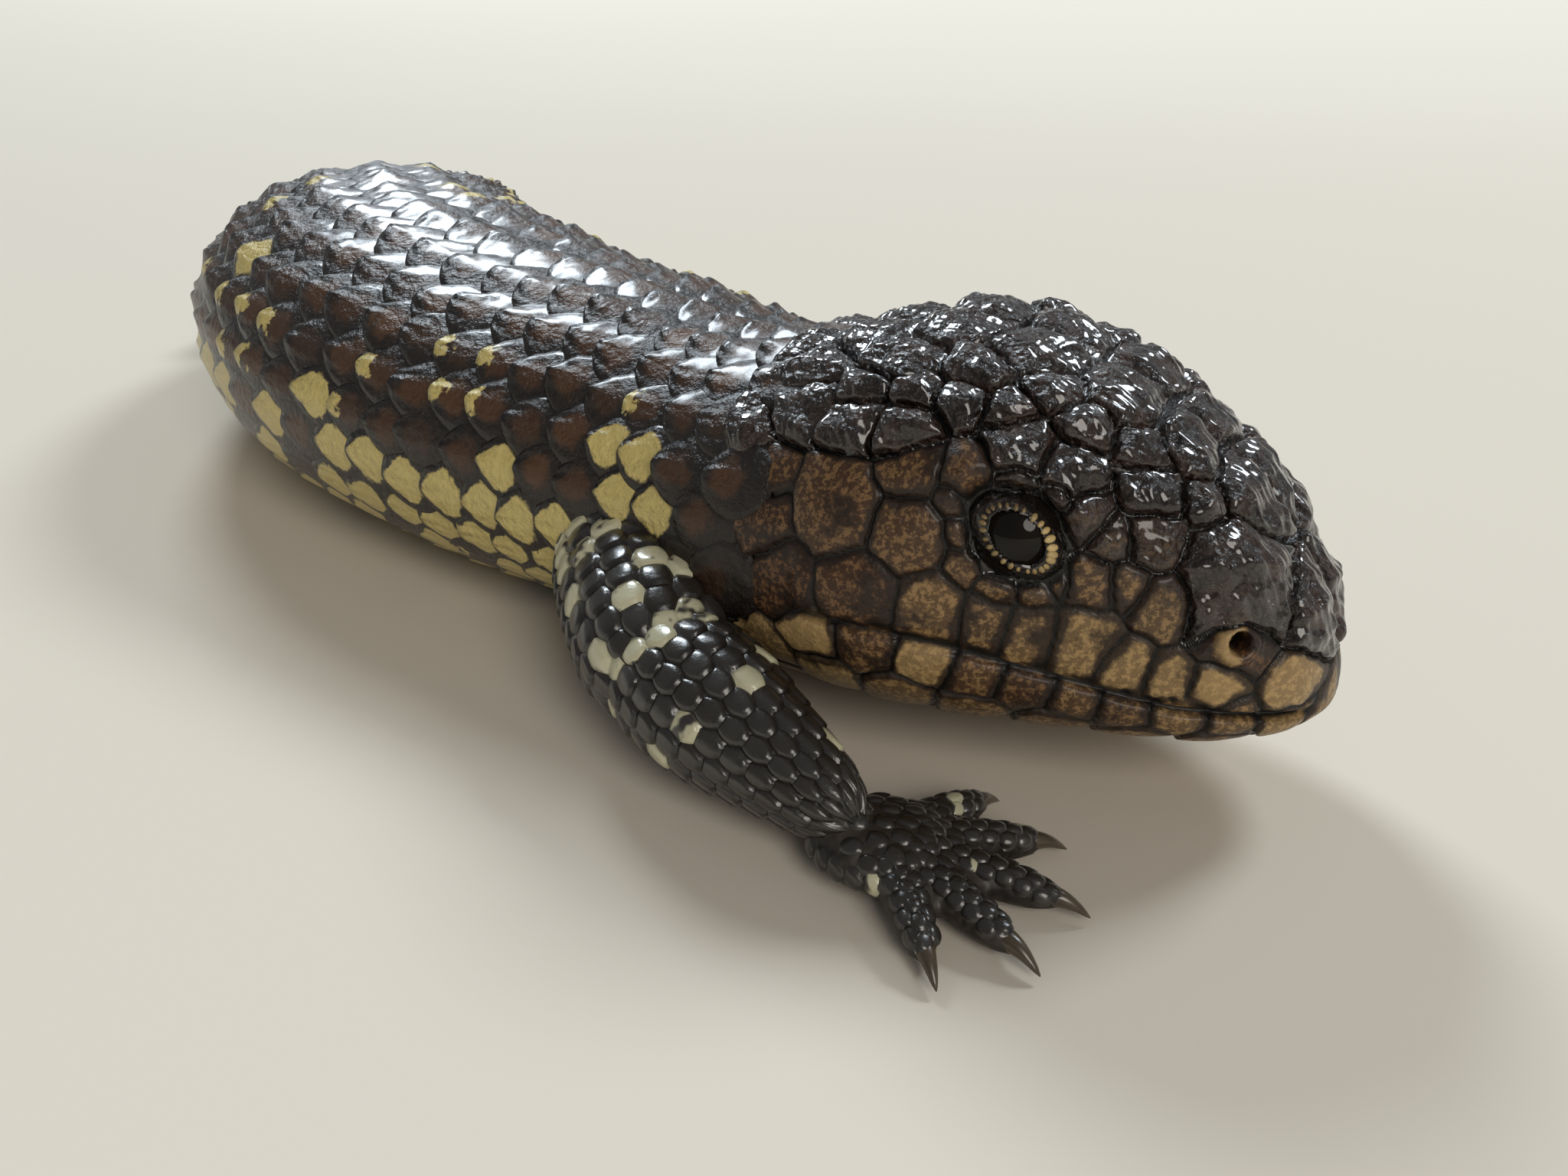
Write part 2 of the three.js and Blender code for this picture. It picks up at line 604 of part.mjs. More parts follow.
function addNode(name, solid, colour) {
  const mesh = solid.getMesh();
  const points = new Float32Array(mesh.numVert * 3);
  for (let i = 0; i < mesh.numVert; i++) {
    points.set(mesh.vertProperties.subarray(i * mesh.numProp, i * mesh.numProp + 3), i * 3);
  }
  const geometry = new THREE.BufferGeometry();
  geometry.setAttribute("position", new THREE.BufferAttribute(points, 3));
  geometry.setIndex(new THREE.BufferAttribute(mesh.triVerts, 1));
  const material = new THREE.MeshStandardMaterial({ color: colour, roughness: 0.6 });
  const node = new THREE.Mesh(geometry, material);
  node.name = name;
  lizard.add(node);
}

const wholeHead = lengthOf(headSolid(), -20, HEAD_LENGTH);
addNode("head", largestOf(wholeHead.subtract(jawSpace(0))), COLOURS.head);
addNode("jaw", largestOf(wholeHead.intersect(jawSpace(GAP))), COLOURS.jaw);
addNode("eye_right", eyeball(1, 0), COLOURS.eye);
addNode("eye_left", eyeball(-1, 0), COLOURS.eye);

const trunk = trunkSolid();
const tail = tailSolid();
for (const part of BODY_NODES) {
  addNode(part.name, lengthOf(trunk, part.from, part.to), COLOURS.body);
}
for (const part of TAIL_NODES) {
  addNode(part.name, lengthOf(tail, part.from, part.to), COLOURS.tail);
}

const bodySpace = ringedSurface(28, 24, (ring, degrees) =>
  skinPoint(mix(HEAD_LENGTH - 34, VENT_AT + 12, ring / 27), degrees, LEG_CLEARANCE),
);
for (const leg of LEGS) {
  const solids = legNodes(leg, bodySpace);
  for (const part of Object.keys(solids)) {
    addNode(`${leg.name}_${part}`, solids[part], COLOURS.leg);
  }
}

export default lizard;
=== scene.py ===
"""A life-size shingleback skink lying with its trunk curved and its head turned to its left."""

import math

import bpy
import numpy as np
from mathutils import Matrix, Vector
from mathutils.bvhtree import BVHTree


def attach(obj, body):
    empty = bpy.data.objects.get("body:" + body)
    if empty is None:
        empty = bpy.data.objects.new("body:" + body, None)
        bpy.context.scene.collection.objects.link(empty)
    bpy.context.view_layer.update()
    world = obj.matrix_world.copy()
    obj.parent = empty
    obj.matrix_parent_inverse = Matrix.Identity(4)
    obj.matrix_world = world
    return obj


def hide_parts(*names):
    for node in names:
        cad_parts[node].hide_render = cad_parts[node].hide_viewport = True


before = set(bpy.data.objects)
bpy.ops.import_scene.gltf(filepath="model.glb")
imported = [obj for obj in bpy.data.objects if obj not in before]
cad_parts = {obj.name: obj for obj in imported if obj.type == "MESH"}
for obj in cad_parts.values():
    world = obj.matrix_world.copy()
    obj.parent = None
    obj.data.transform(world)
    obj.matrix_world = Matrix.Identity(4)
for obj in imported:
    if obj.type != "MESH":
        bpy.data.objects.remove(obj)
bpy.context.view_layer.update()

# The camera stands 82 mm over the floor and 14 cm from the snout, and looks down along the
# animal's right side. The floor is a plain pale board, turned up a little far off, under a wide
# soft window from behind, a weaker one from the right and a soft lamp from the front.
PITCH = 27.5
FLOOR_SIZE = 14
FLOOR_CELLS = 90
FLAT_REACH = 1
RISE_BREADTH = 2
RISE_HEIGHT = 0.16
camera_data = bpy.data.cameras.new("camera")
camera_data.lens = 26.02
camera_data.clip_start = 0.01
camera = bpy.data.objects.new("camera", camera_data)
camera.location = (0.0489, -0.2456, 0.082)
camera.rotation_euler = (math.radians(90 - PITCH), 0, 0)
bpy.context.scene.collection.objects.link(camera)
bpy.context.scene.camera = camera


def soft_light(name, place, aim, width, power, colour):
    data = bpy.data.lights.new(name, "AREA")
    data.shape = "DISK"
    data.size = width
    data.energy = power
    data.color = colour
    lamp = bpy.data.objects.new(name, data)
    lamp.location = place
    way = np.array(aim) - np.array(place)
    yaw = math.atan2(-way[0], way[1])
    lamp.rotation_euler = (math.atan2(math.hypot(way[0], way[1]), -way[2]), 0, yaw)
    bpy.context.scene.collection.objects.link(lamp)


soft_light("window", (-1.2, 3.7, 3.2), (0, 0, 0.03), 1.5, 175, (0.82, 0.92, 1.0))
soft_light("far_window", (2.3, 1.7, 2.9), (0.05, -0.1, 0.03), 1.1, 85, (0.84, 0.93, 1.0))
soft_light("front_lamp", (1.0, -2.3, 1.7), (0.03, -0.05, 0.02), 1.5, 38, (1.0, 0.94, 0.86))

world = bpy.data.worlds.new("room")
world.use_nodes = True
room_air = world.node_tree.nodes["Background"]
room_air.inputs["Color"].default_value = (0.86, 0.88, 0.9, 1)
room_air.inputs["Strength"].default_value = 0.2
bpy.context.scene.world = world
bpy.context.scene.view_settings.view_transform = "Standard"

bpy.ops.mesh.primitive_grid_add(x_subdivisions=FLOOR_CELLS, y_subdivisions=FLOOR_CELLS, size=FLOOR_SIZE)
floor = bpy.context.object
floor.name = "floor"
for corner in floor.data.vertices:
    far = (math.hypot(corner.co.x, corner.co.y) - FLAT_REACH) / RISE_BREADTH
    far = min(max(far, 0), 1)
    corner.co.z = RISE_HEIGHT * far * far * (3 - 2 * far)
floor.data.shade_smooth()
board = bpy.data.materials.new("pale_board")
board.use_nodes = True
board_shader = board.node_tree.nodes["Principled BSDF"]
board_shader.inputs["Base Color"].default_value = (0.66, 0.6, 0.51, 1)
board_shader.inputs["Roughness"].default_value = 0.9
board_shader.inputs["Specular IOR Level"].default_value = 0.1
floor.data.materials.append(board)

# The head is covered with horny shields that meet in dark grooves. Those of the cheeks are tan,
# netted with brown, and those of the crown and brow are knobbed, pitted and nearly black. They
# are raised from the head's skin, which follows the same body plan as the solids.

# A place on the body is a distance in millimetres along the spine from the snout, and an angle
# round it, where 0 is the right side and 90 the middle of the back.
SNOUT = (109.6, -140.6)
SNOUT_HEADING = 149
# where each bend begins and ends, and how far it turns
SPINE_BENDS = ((50, 84, -14), (130, 245, -35), (285, 378, -22))
TOTAL_LENGTH = 378
SNOUT_ROUNDING = 11
TAIL_ROUNDING = 24
BELLY_FULLNESS = 2.35
# at, half width, height above and below the middle, height of the middle, fullness of the back
SECTIONS = np.array(
    [
        (0, 14, 13, 5.6, 14.8, 2.3),
        (7, 14.8, 16.9, 6.5, 16.2, 2.6),
        (15, 17.8, 22.6, 8.6, 17, 3),
        (27, 22.2, 27, 12.9, 19.7, 3.2),
        (38, 25.8, 28, 16, 21.6, 2.9),
        (49, 27.5, 27.1, 17.2, 22.2, 2.5),
        (64, 25.4, 24.2, 16.2, 21, 2.2),
        (76, 25, 22.2, 16.9, 21, 2.1),
        (96, 28.5, 23, 19.5, 21, 2.1),
        (122, 33, 22.8, 22, 22, 2.1),
        (160, 36.5, 25.2, 23, 23, 2.1),
        (205, 36.5, 26.5, 23, 23, 2.1),
        (245, 34, 23.5, 21, 21, 2.1),
        (275, 27, 20, 18.4, 18.4, 2.1),
        (300, 20, 17, 16.2, 16.2, 2.1),
        (325, 20, 17, 15.8, 15.8, 2.1),
        (348, 19, 15, 14.6, 14.6, 2.1),
        (378, 13, 10, 11, 11, 2.1),
    ]
)
HALF_WIDTH, ABOVE, BELOW, MIDDLE, FULLNESS = range(1, 6)


def ease(t):
    t = np.clip(t, 0, 1)
    return t * t * (3 - 2 * t)


def bell(distance, reach):
    return np.exp(-((distance / reach) ** 2))


def heading_at(at):
    degrees = np.full_like(at, SNOUT_HEADING)
    for begin, end, turn in SPINE_BENDS:
        degrees = degrees + turn * ease((at - begin) / (end - begin))
    return np.radians(degrees)


# the spine seen from above, a point for each millimetre and a few more than the tail needs
headings = heading_at(np.arange(0.5, TOTAL_LENGTH + 6))
spine_steps = np.c_[np.cos(headings), np.sin(headings)]
spine_plan = np.vstack([SNOUT, SNOUT + np.cumsum(spine_steps, axis=0)])


def section_value(column, at):
    """A column of the sections, run smoothly from each one to the next."""
    stations = SECTIONS[:, 0]
    values = SECTIONS[:, column]
    last = len(stations) - 1
    order = np.arange(last + 1)
    after = np.minimum(last, order + 1)
    before = np.maximum(0, order - 1)
    slopes = (values[after] - values[before]) / (stations[after] - stations[before])
    i = np.clip(np.searchsorted(stations, at) - 1, 0, last - 1)
    span = stations[i + 1] - stations[i]
    t = np.clip((at - stations[i]) / span, 0, 1)
    bend = slopes[i] * span * t * (1 - t) ** 2 - slopes[i + 1] * span * t * t * (1 - t)
    return values[i] + (values[i + 1] - values[i]) * ease(t) + bend


def end_rounding(at):
    snout = np.clip(at / SNOUT_ROUNDING, 0, 1)
    tail = np.clip((TOTAL_LENGTH - at) / TAIL_ROUNDING, 0, 1)
    return np.sqrt(1 - (1 - snout) ** 2) * np.sqrt(1 - (1 - tail) ** 2)


def from_spine(at, side, height):
    """Points to the right of the spine and over the floor by the given distances."""
    at, side, height = np.broadcast_arrays(np.asarray(at, float), side, height)
    step = np.clip(np.floor(at).astype(int), 0, len(spine_plan) - 2)
    part = (at - step)[..., None]
    centre = spine_plan[step] * (1 - part) + spine_plan[step + 1] * part
    heading = heading_at(at)
    x = centre[..., 0] - np.sin(heading) * side
    y = centre[..., 1] + np.cos(heading) * side
    return np.stack([x, y, height], axis=-1)


def skin_point(at, degrees, lift=0.0):
    """Points on the body, or off it by the lift."""
    at, degrees, lift = np.broadcast_arrays(np.asarray(at, float), degrees, lift)
    angle = np.radians(degrees)
    top = np.sin(angle) >= 0
    power = 2 / np.where(top, section_value(FULLNESS, at), BELLY_FULLNESS)
    across = np.sign(np.cos(angle)) * np.abs(np.cos(angle)) ** power
    up = np.sign(np.sin(angle)) * np.abs(np.sin(angle)) ** power
    rounding = end_rounding(at)
    half = section_value(HALF_WIDTH, at) * rounding + lift
    tall = np.where(top, section_value(ABOVE, at), section_value(BELOW, at)) * rounding + lift
    return from_spine(at, across * half, section_value(MIDDLE, at) + up * tall)


def outward(at, degrees, forth=0.4, turn=0.8):
    """The way that the body faces, from points a little further along it and round it."""
    here = skin_point(at, degrees)
    along = skin_point(at + forth, degrees) - here
    across = skin_point(at, degrees + turn) - here
    normal = np.cross(across, along)
    return normal / (np.linalg.norm(normal, axis=-1, keepdims=True) + 1e-9)


EYE = (30.5, 21.2)
EYE_RADIUS = 4.8
EYE_DEPTH = 3.2
EYE_OVAL = (1.26, 0.82)
EYE_TILT = 30
# how far from the middle of the eye the lid opens, ends and gives way to the shields
LID_OPENING = 2.5
LID_REACH = 4.6
SOCKET_REACH = 4.3
LID_THICKNESS = 0.5
NOSTRIL = (9.1, 21.5)
NOSTRIL_RADIUS = 0.75
NOSTRIL_RING = 1.8
EAR = (60.5, -3)
EAR_HALF = (1.2, 8)
EAR_DEPTH = 2.2
MOUTH_CORNER = 52.5
MOUTH_DEPTH = 1.6
# Each kind has how high its shields stand, how far they dome and how black they are, and then
# the shields of one side: distance, angle, extra size and how pale.
HEAD_SHIELDS = {
    "upper lips": (0.32, 0.4, 0.0, [
        (3.0, 14, 1, 1), (10.3, 5.5, 0.1, 1.2), (14.5, 4, 0, 0.9), (18.8, 3, 0.3, 0.85),
        (23.3, 4.2, 1.2, 0.75), (27.9, 3.2, 0.6, 0.6), (32.4, 3.6, 0.6, 0.4), (38.1, 3.8, 1.5, 0.5),
        (45.7, 5.6, 2.2, 0.1), (55, 6.5, 2, 0),
    ]),
    "lower lips": (0.3, 0.35, 0.0, [
        (3, -20, 1.5, 0.8), (8, -10, 0.3, 0.5), (13, -7.5, 0.3, 0.55), (18.6, -13, 0.4, 0.3),
        (23.3, -13, 0.3, 0.35), (28.1, -12, 0.3, 0.15), (33.1, -10, 0.3, 0.3),
        (38.6, -6.5, 0.6, 0.95), (45.2, -5, 1.4, 0.25), (51.2, -6, 1, 1.3),
    ]),
    "chin": (0.35, 0.4, 0.0, [
        (4, -70, 3, 0.7), (10, -45, 1.5, 0.45), (18, -42, 1.5, 0.5), (26, -38, 1.5, 0.4),
        (34, -34, 1.5, 0.45), (42, -30, 1.5, 0.6), (12, -82, 2, 0.9), (21, -75, 2, 0.9),
        (30, -72, 2, 0.9), (40, -68, 2, 0.9), (50, -62, 2, 0.9), (50, -26, 1, 1), (58, -22, 1, 0.9),
        (58, -45, 2, 0.9),
    ]),
    "loreals": (0.4, 0.55, 0.1, [
        (9.3, 23.5, 1.6, 0), (15.8, 21.5, 1.2, 0.5), (19.8, 20.9, 0.2, 0.4), (23.3, 16.3, 0.5, 0.3),
        (26.1, 13.7, -0.8, 0.3), (28.1, 9.8, -0.6, 0.4), (31.6, 8.5, -0.2, 0.4),
        (35.1, 12.4, -0.2, 0.35), (36.4, 18.9, -0.4, 0.3), (37.4, 26.7, -0.2, 0.25),
    ]),
    "temples": (0.55, 0.75, 0.05, [
        (41.3, 18, 2.2, 0.25), (49.7, 24, 3.2, 0.2), (58.2, 19.6, 2.4, 0.1), (58.9, 31, 1.8, 0.15),
        (42.1, 33.5, 1.6, 0.2), (36.6, 33.9, 0.8, 0.2), (64.5, 10, 2, 0), (65.5, 28, 2, 0),
    ]),
    "brows": (0.8, 0.9, 0.65, [
        (31.6, 34.4, 0.2, 0.2), (24.8, 33.5, 0.8, 0.1), (21.6, 30.5, 0.6, 0.3),
        (18.3, 37.2, 1.6, 0.1), (27.6, 34.3, 0, 0),
    ]),
    "nape": (1.4, 1.9, 1.0, [
        (43.9, 43.7, 1.6, 0), (49.9, 46.3, 1.6, 0), (57.4, 50.9, 2, 0), (62.7, 42.4, 1.6, 0),
        (58.9, 65.9, 2, 0), (50.4, 56.1, 1.2, 0), (48.2, 67.8, 1.8, 0), (44.4, 55.4, 0.8, 0),
        (39.4, 55.4, 0.8, 0), (39.4, 67.8, 1, 0), (54.5, 80, 1.8, 0), (45.5, 81, 1.4, 0),
        (64, 78, 1.8, 0),
    ]),
    "crown": (1.0, 1.6, 1.0, [
        (32.1, 45.7, 1.6, 0), (27, 43.5, 1.6, 0), (34.4, 56.7, 0.8, 0), (31.4, 68.5, 0.8, 0),
        (27.3, 61, 1, 0), (19.6, 52.5, 1.6, 0), (21.6, 64.6, 1, 0), (15.3, 60, 0.6, 0),
        (18, 77, 0.8, 0), (25.5, 78, 0.8, 0), (12, 78, 1.4, 0), (36, 80, 1, 0),
    ]),
    "snout": (1.0, 1.5, 0.95, [(10.4, 41, 4.7, 0), (3.6, 66, 1.2, 0)]),
    "eye": (0.0, 0.0, 1.0, [(30.5, 21.2, 3, 0)]),
}
# how far in from its groove a shield has its full height and its dome, and how deep grooves lie
EDGE_BREADTH = 0.45
DOME_BREADTH = 1.8
GROOVE_DEPTH = 0.9
BLACK_GROOVE_DEPTH = 0.6
# height and breadth of the knobs of black shields
KNOBS = ((0.36, 2.8), (0.24, 1.3), (0.05, 0.7))

shield_rows = [
    (at, angle, size, rise, dome, black, pale)
    for rise, dome, black, places in HEAD_SHIELDS.values()
    for at, angle, size, pale in places
]
AT, ANGLE, SIZE, RISE, DOME, BLACK, PALE = range(7)
shields = np.array(shield_rows + [(row[AT], 180 - row[ANGLE], *row[SIZE:]) for row in shield_rows])
shield_centres = skin_point(shields[:, AT], shields[:, ANGLE])
dice = np.random.default_rng(7)
shield_tints = dice.random(len(shields))


def knobs(points, size):
    """Hammered unevenness, from -1 to 1, with lumps of about the given size."""
    x, y, z = (points[..., k] * 2.2 / size for k in range(3))
    crests = np.sin(x + 1.3 * np.sin(0.8 * z)) * np.sin(1.1 * y + 1.1 * np.sin(0.7 * x))
    crests = crests + np.sin(1.3 * z + 0.9 * np.sin(y))
    dimples = np.sin(2.1 * x + 1.7 * z) * np.sin(2.3 * y - 1.1 * z)
    return 0.45 * crests + 0.3 * dimples


def eye_place(points, side):
    """The middle and the axes of an eye, and how far each point is from it, in its own oval."""
    angle = EYE[1] if side > 0 else 180 - EYE[1]
    centre = skin_point(EYE[0], angle)
    normal = outward(np.array(EYE[0]), np.array(angle))
    tailward = skin_point(EYE[0] + 1, angle) - centre
    tailward = tailward - normal * (tailward @ normal)
    tailward = tailward / np.linalg.norm(tailward)
    upward = np.cross(normal, tailward)
    if upward[2] < 0:
        upward = -upward
    tilt = math.radians(EYE_TILT)
    along = math.cos(tilt) * tailward + math.sin(tilt) * upward
    across = math.cos(tilt) * upward - math.sin(tilt) * tailward
    offset = points - centre
    away = np.hypot(offset @ along / EYE_OVAL[0], offset @ across / EYE_OVAL[1])
    return centre, normal, along, across, away


def nearest_shields(points, batch=20000):
    """The shield on which each point lies, and how far the point is from that shield's edge."""
    wobble = 0.12 * np.sin(points[:, [1, 2, 0]] * 1.9) + 0.06 * np.sin(points[:, [2, 0, 1]] * 4.1)
    nearest = np.empty(len(points), int)
    border = np.empty(len(points))
    for begin in range(0, len(points), batch):
        chosen = slice(begin, begin + batch)
        part = points[chosen] + wobble[chosen]
        reach = np.linalg.norm(part[:, None] - shield_centres[None], axis=-1) - shields[:, SIZE]
        order = np.argpartition(reach, 1, axis=1)[:, :2]
        two = np.take_along_axis(reach, order, axis=1)
        swap = two[:, 0] > two[:, 1]
        nearest[chosen] = np.where(swap, order[:, 1], order[:, 0])
        border[chosen] = np.abs(two[:, 1] - two[:, 0]) / 2
    return nearest, border


def shield_lift(at, base, nearest, border):
    """How far shields stand out: an edge, a dome, a raised hind side and, if black, knobs."""
    rise, dome, black = (shields[nearest, column] for column in (RISE, DOME, BLACK))
    lift = rise * ease(border / EDGE_BREADTH) + dome * (1 - np.exp(-border / DOME_BREADTH))
    lift = lift - GROOVE_DEPTH - BLACK_GROOVE_DEPTH * black
    tilt = 0.05 + 0.1 * black * ease((at - 30) / 20)
    lift = lift + tilt * np.clip(at - shields[nearest, AT], -4, 6) * ease(border / 0.5)
    return lift + black * ease(border / 0.8) * sum(high * knobs(base, wide) for high, wide in KNOBS)


def head_skin(at, degrees):
    """The skin of the head: points, and how black, pale, near a groove or in painted shade each one is.
    """
    base = skin_point(at, degrees)
    normal = outward(at, degrees)
    nearest, border = nearest_shields(base.reshape(-1, 3))
    nearest = nearest.reshape(at.shape)
    border = border.reshape(at.shape)
    lift = shield_lift(at, base, nearest, border)
    side = np.where(degrees > 90, 180 - degrees, degrees)
    right = degrees < 90
    over_lip = base[..., 2] - section_value(MIDDLE, at)

    # a lid over each eyeball, in a socket with a low ring and a brow over it
    from_eye = np.where(right, eye_place(base, 1)[4], eye_place(base, -1)[4])
    ball = np.sqrt(np.maximum(EYE_RADIUS**2 - np.minimum(from_eye, LID_REACH) ** 2, 0))
    lid = np.maximum(ball - EYE_DEPTH + LID_THICKNESS, -0.9)
    lid = np.where(from_eye < LID_OPENING, -2.5, lid)
    socket = 1 - ease((from_eye - SOCKET_REACH) / 1.3)
    lift = lift * (1 - socket) + lid * socket
    lift = lift + 1.3 * bell(from_eye - 7.2, 1.9) * ease((side - 22) / 12)
    lift = lift + 0.45 * bell(from_eye - 6.0, 1.0)

    # a nostril in a raised ring, and an ear, which is an upright slit
    nostrils = [skin_point(NOSTRIL[0], angle) for angle in (NOSTRIL[1], 180 - NOSTRIL[1])]
    from_nostril = np.linalg.norm(base - np.where(right[..., None], *nostrils), axis=-1)
    ring = bell(from_nostril - NOSTRIL_RING, 0.8)
    hole = 1 - ease((from_nostril - NOSTRIL_RADIUS) / 0.6)
    lift = lift + 0.6 * ring - 2.6 * hole
    from_ear = np.hypot((at - EAR[0]) / EAR_HALF[0], (side - EAR[1]) / EAR_HALF[1])
    ear = 1 - ease((from_ear - 0.7) / 0.5)
    lift = lift - EAR_DEPTH * ear

    # the closed mouth, whose upper lip bulges towards the corner
    in_mouth = ease((at - 0.5) / 2) * (1 - ease((at - MOUTH_CORNER) / 2)) * (np.abs(side) < 40)
    mouth = bell(np.abs(over_lip), 0.5) * in_mouth
    lift = lift * (1 - 0.5 * mouth) - MOUTH_DEPTH * mouth
    bulge = ease(over_lip / 0.7) * (1 - ease((side - 4) / 12)) * ease((at - 36) / 10)
    lift = lift + 0.8 * bulge * in_mouth

    # the rounded tip of the snout, and the hind edge that is tucked under the neck's scales
    lift = lift * ease(at / 2.0 + 0.25) - 2.2 * ease((at - 64.5) / 3)

    crescent = ring * ease((at - NOSTRIL[0] + 0.6) / 1.0) * (from_nostril < 4)
    # the grooves between the shields are dark joints; the mouth line, the nostril holes and the ear
    # slits are painted shade, black where shade falls in them
    groove = np.clip(1 - ease(border / 0.42), 0, 1) + mouth + hole + ear
    fields = {
        "black": np.clip(shields[nearest, BLACK], 0, 1),
        "groove": groove + bell(from_eye - LID_REACH, 0.7),
        "edge": 1 - ease((border - 0.1) / 1.1) - 1.5 * crescent,
        "pale": np.clip(shields[nearest, PALE] * (1 - socket) + 1.6 * crescent, 0, 1.4),
        "tint": shield_tints[nearest],
        "lid": socket,
    }
    return base + normal * lift[..., None], fields


def grid_faces(rows, columns, closed):
    """Quads of a grid of points, whose last column joins its first if it is closed."""
    last = columns if closed else columns - 1
    row, column = np.meshgrid(np.arange(rows - 1), np.arange(last), indexing="ij")
    following = (column + 1) % columns
    corners = (row * columns + column, row * columns + following)
    beyond = ((row + 1) * columns + following, (row + 1) * columns + column)
    return np.stack([corners[0], corners[1], beyond[0], beyond[1]], axis=-1).reshape(-1, 4)


HEAD_RINGS = 400
HEAD_SIDES = 560
HEAD_REACH = 68
# the rings stand closer at the snout, and the points of each ring closer on the crown
RING_CROWDING = 1.15
CROWN_CROWDING = 12
ring_at = HEAD_REACH * (np.arange(HEAD_RINGS) + 0.3) ** RING_CROWDING
ring_at = ring_at / (HEAD_RINGS - 0.7) ** RING_CROWDING
turn_at = np.arange(HEAD_SIDES) * 360 / HEAD_SIDES - 90
side_at = turn_at + CROWN_CROWDING * np.cos(np.radians(turn_at))
at_grid, side_grid = np.meshgrid(ring_at, side_at, indexing="ij")
head_points, head_fields = head_skin(at_grid, side_grid)
head_points = head_points.reshape(-1, 3)
head_faces = grid_faces(HEAD_RINGS, HEAD_SIDES, True)
head_fields = {name: values.ravel() for name, values in head_fields.items()}


class Paint:
    """A finish of horn or skin, put together from one small shader step after another."""

    def __init__(self, name, roughness, coat, coat_roughness=0.18, specular=0.5):
        self.material = bpy.data.materials.new(name)
        self.material.use_nodes = True
        self.tree = self.material.node_tree
        self.shader = self.tree.nodes["Principled BSDF"]
        self.finish("Roughness", roughness)
        self.finish("Specular IOR Level", specular)
        self.finish("Coat Weight", coat)
        self.finish("Coat Roughness", coat_roughness)
        self.place = self.step("TexCoord").outputs["Object"]

    def put(self, socket, value):
        if isinstance(value, bpy.types.NodeSocket):
            self.tree.links.new(value, socket)
        else:
            socket.default_value = value

    def finish(self, name, value):
        self.put(self.shader.inputs[name], value)

    def step(self, kind, **inputs):
        node = self.tree.nodes.new("ShaderNode" + kind)
        for name, value in inputs.items():
            self.put(node.inputs[name.replace("_", " ")], value)
        return node

    def field(self, name):
        node = self.step("Attribute")
        node.attribute_name = name
        return node.outputs["Fac"]

    def noise(self, scale, detail=4, rough=0.6):
        node = self.step("TexNoise", Vector=self.place, Scale=scale, Detail=detail, Roughness=rough)
        return node.outputs["Fac"]

    def pits(self, scale):
        node = self.step("TexVoronoi", Vector=self.place, Scale=scale)
        node.feature = "SMOOTH_F1"
        return node.outputs["Distance"]

    def ramp(self, value, low, high):
        node = self.step("MapRange", Value=value, From_Min=low, From_Max=high)
        node.interpolation_type = "SMOOTHSTEP"
        return node.outputs["Result"]

    def maths(self, kind, a, b=0.0):
        node = self.step("Math")
        node.operation = kind
        self.put(node.inputs[0], a)
        self.put(node.inputs[1], b)
        return node.outputs["Value"]

    def add(self, a, b):
        return self.maths("ADD", a, b)

    def less(self, a, b):
        return self.maths("SUBTRACT", a, b)

    def times(self, a, b):
        return self.maths("MULTIPLY", a, b)

    def blend(self, amount, a, b):
        node = self.step("Mix")
        node.data_type = "RGBA"
        self.put(node.inputs["Factor"], amount)
        for name, colour in (("A", a), ("B", b)):
            socket = next(s for s in node.inputs if s.name == name and s.type == "RGBA")
            self.put(socket, colour if isinstance(colour, bpy.types.NodeSocket) else (*colour, 1))
        return next(s for s in node.outputs if s.type == "RGBA")

    def bump(self, height, strength, distance):
        node = self.step("Bump", Height=height, Strength=strength, Distance=distance)
        self.finish("Normal", node.outputs["Normal"])


TAN = ((0.14, 0.068, 0.028), (0.42, 0.28, 0.12))
BROWN = ((0.022, 0.01, 0.006), (0.045, 0.02, 0.01))
BLACK_CROWN = ((0.012, 0.007, 0.005), (0.046, 0.025, 0.017))
SMOKE = (0.018, 0.01, 0.007)
LID_BLACK = (0.016, 0.01, 0.007)
# the black of the grooves between shields, also used as painted shade in the mouth line, nostrils and
# ears
GROOVE_AND_SHADE_BLACK = (0.005, 0.004, 0.003)
head_horn = Paint("head_horn", 0.3, 0.8, coat_roughness=0.12, specular=0.28)
black = head_horn.field("black")
pale = head_horn.field("pale")
# the black horn is polished and the tan horn is dull
dullness = head_horn.less(0.46, head_horn.times(black, 0.18))
head_horn.finish("Roughness", dullness)
varnish = head_horn.add(0.14, head_horn.times(black, 0.86))
head_horn.finish("Coat Weight", varnish)
# tan shields are netted with brown and smoked with black, most of all along their edges
tan_horn = head_horn.blend(pale, *TAN)
brown_horn = head_horn.blend(head_horn.field("tint"), *BROWN)
net = head_horn.ramp(head_horn.noise(1400, 4, 0.7), 0.42, 0.53)
net = head_horn.times(net, head_horn.less(1.0, head_horn.times(pale, 0.6)))
smoke = head_horn.add(head_horn.noise(230, 4), head_horn.times(head_horn.field("edge"), 0.32))
smoke = head_horn.ramp(head_horn.less(smoke, head_horn.times(pale, 0.09)), 0.47, 0.66)
horn = head_horn.blend(net, tan_horn, brown_horn)
horn = head_horn.blend(head_horn.times(smoke, 0.92), horn, SMOKE)
crown_horn = head_horn.blend(head_horn.ramp(head_horn.noise(320, 4), 0.4, 0.7), *BLACK_CROWN)
horn = head_horn.blend(black, horn, crown_horn)
horn = head_horn.blend(head_horn.field("lid"), horn, LID_BLACK)
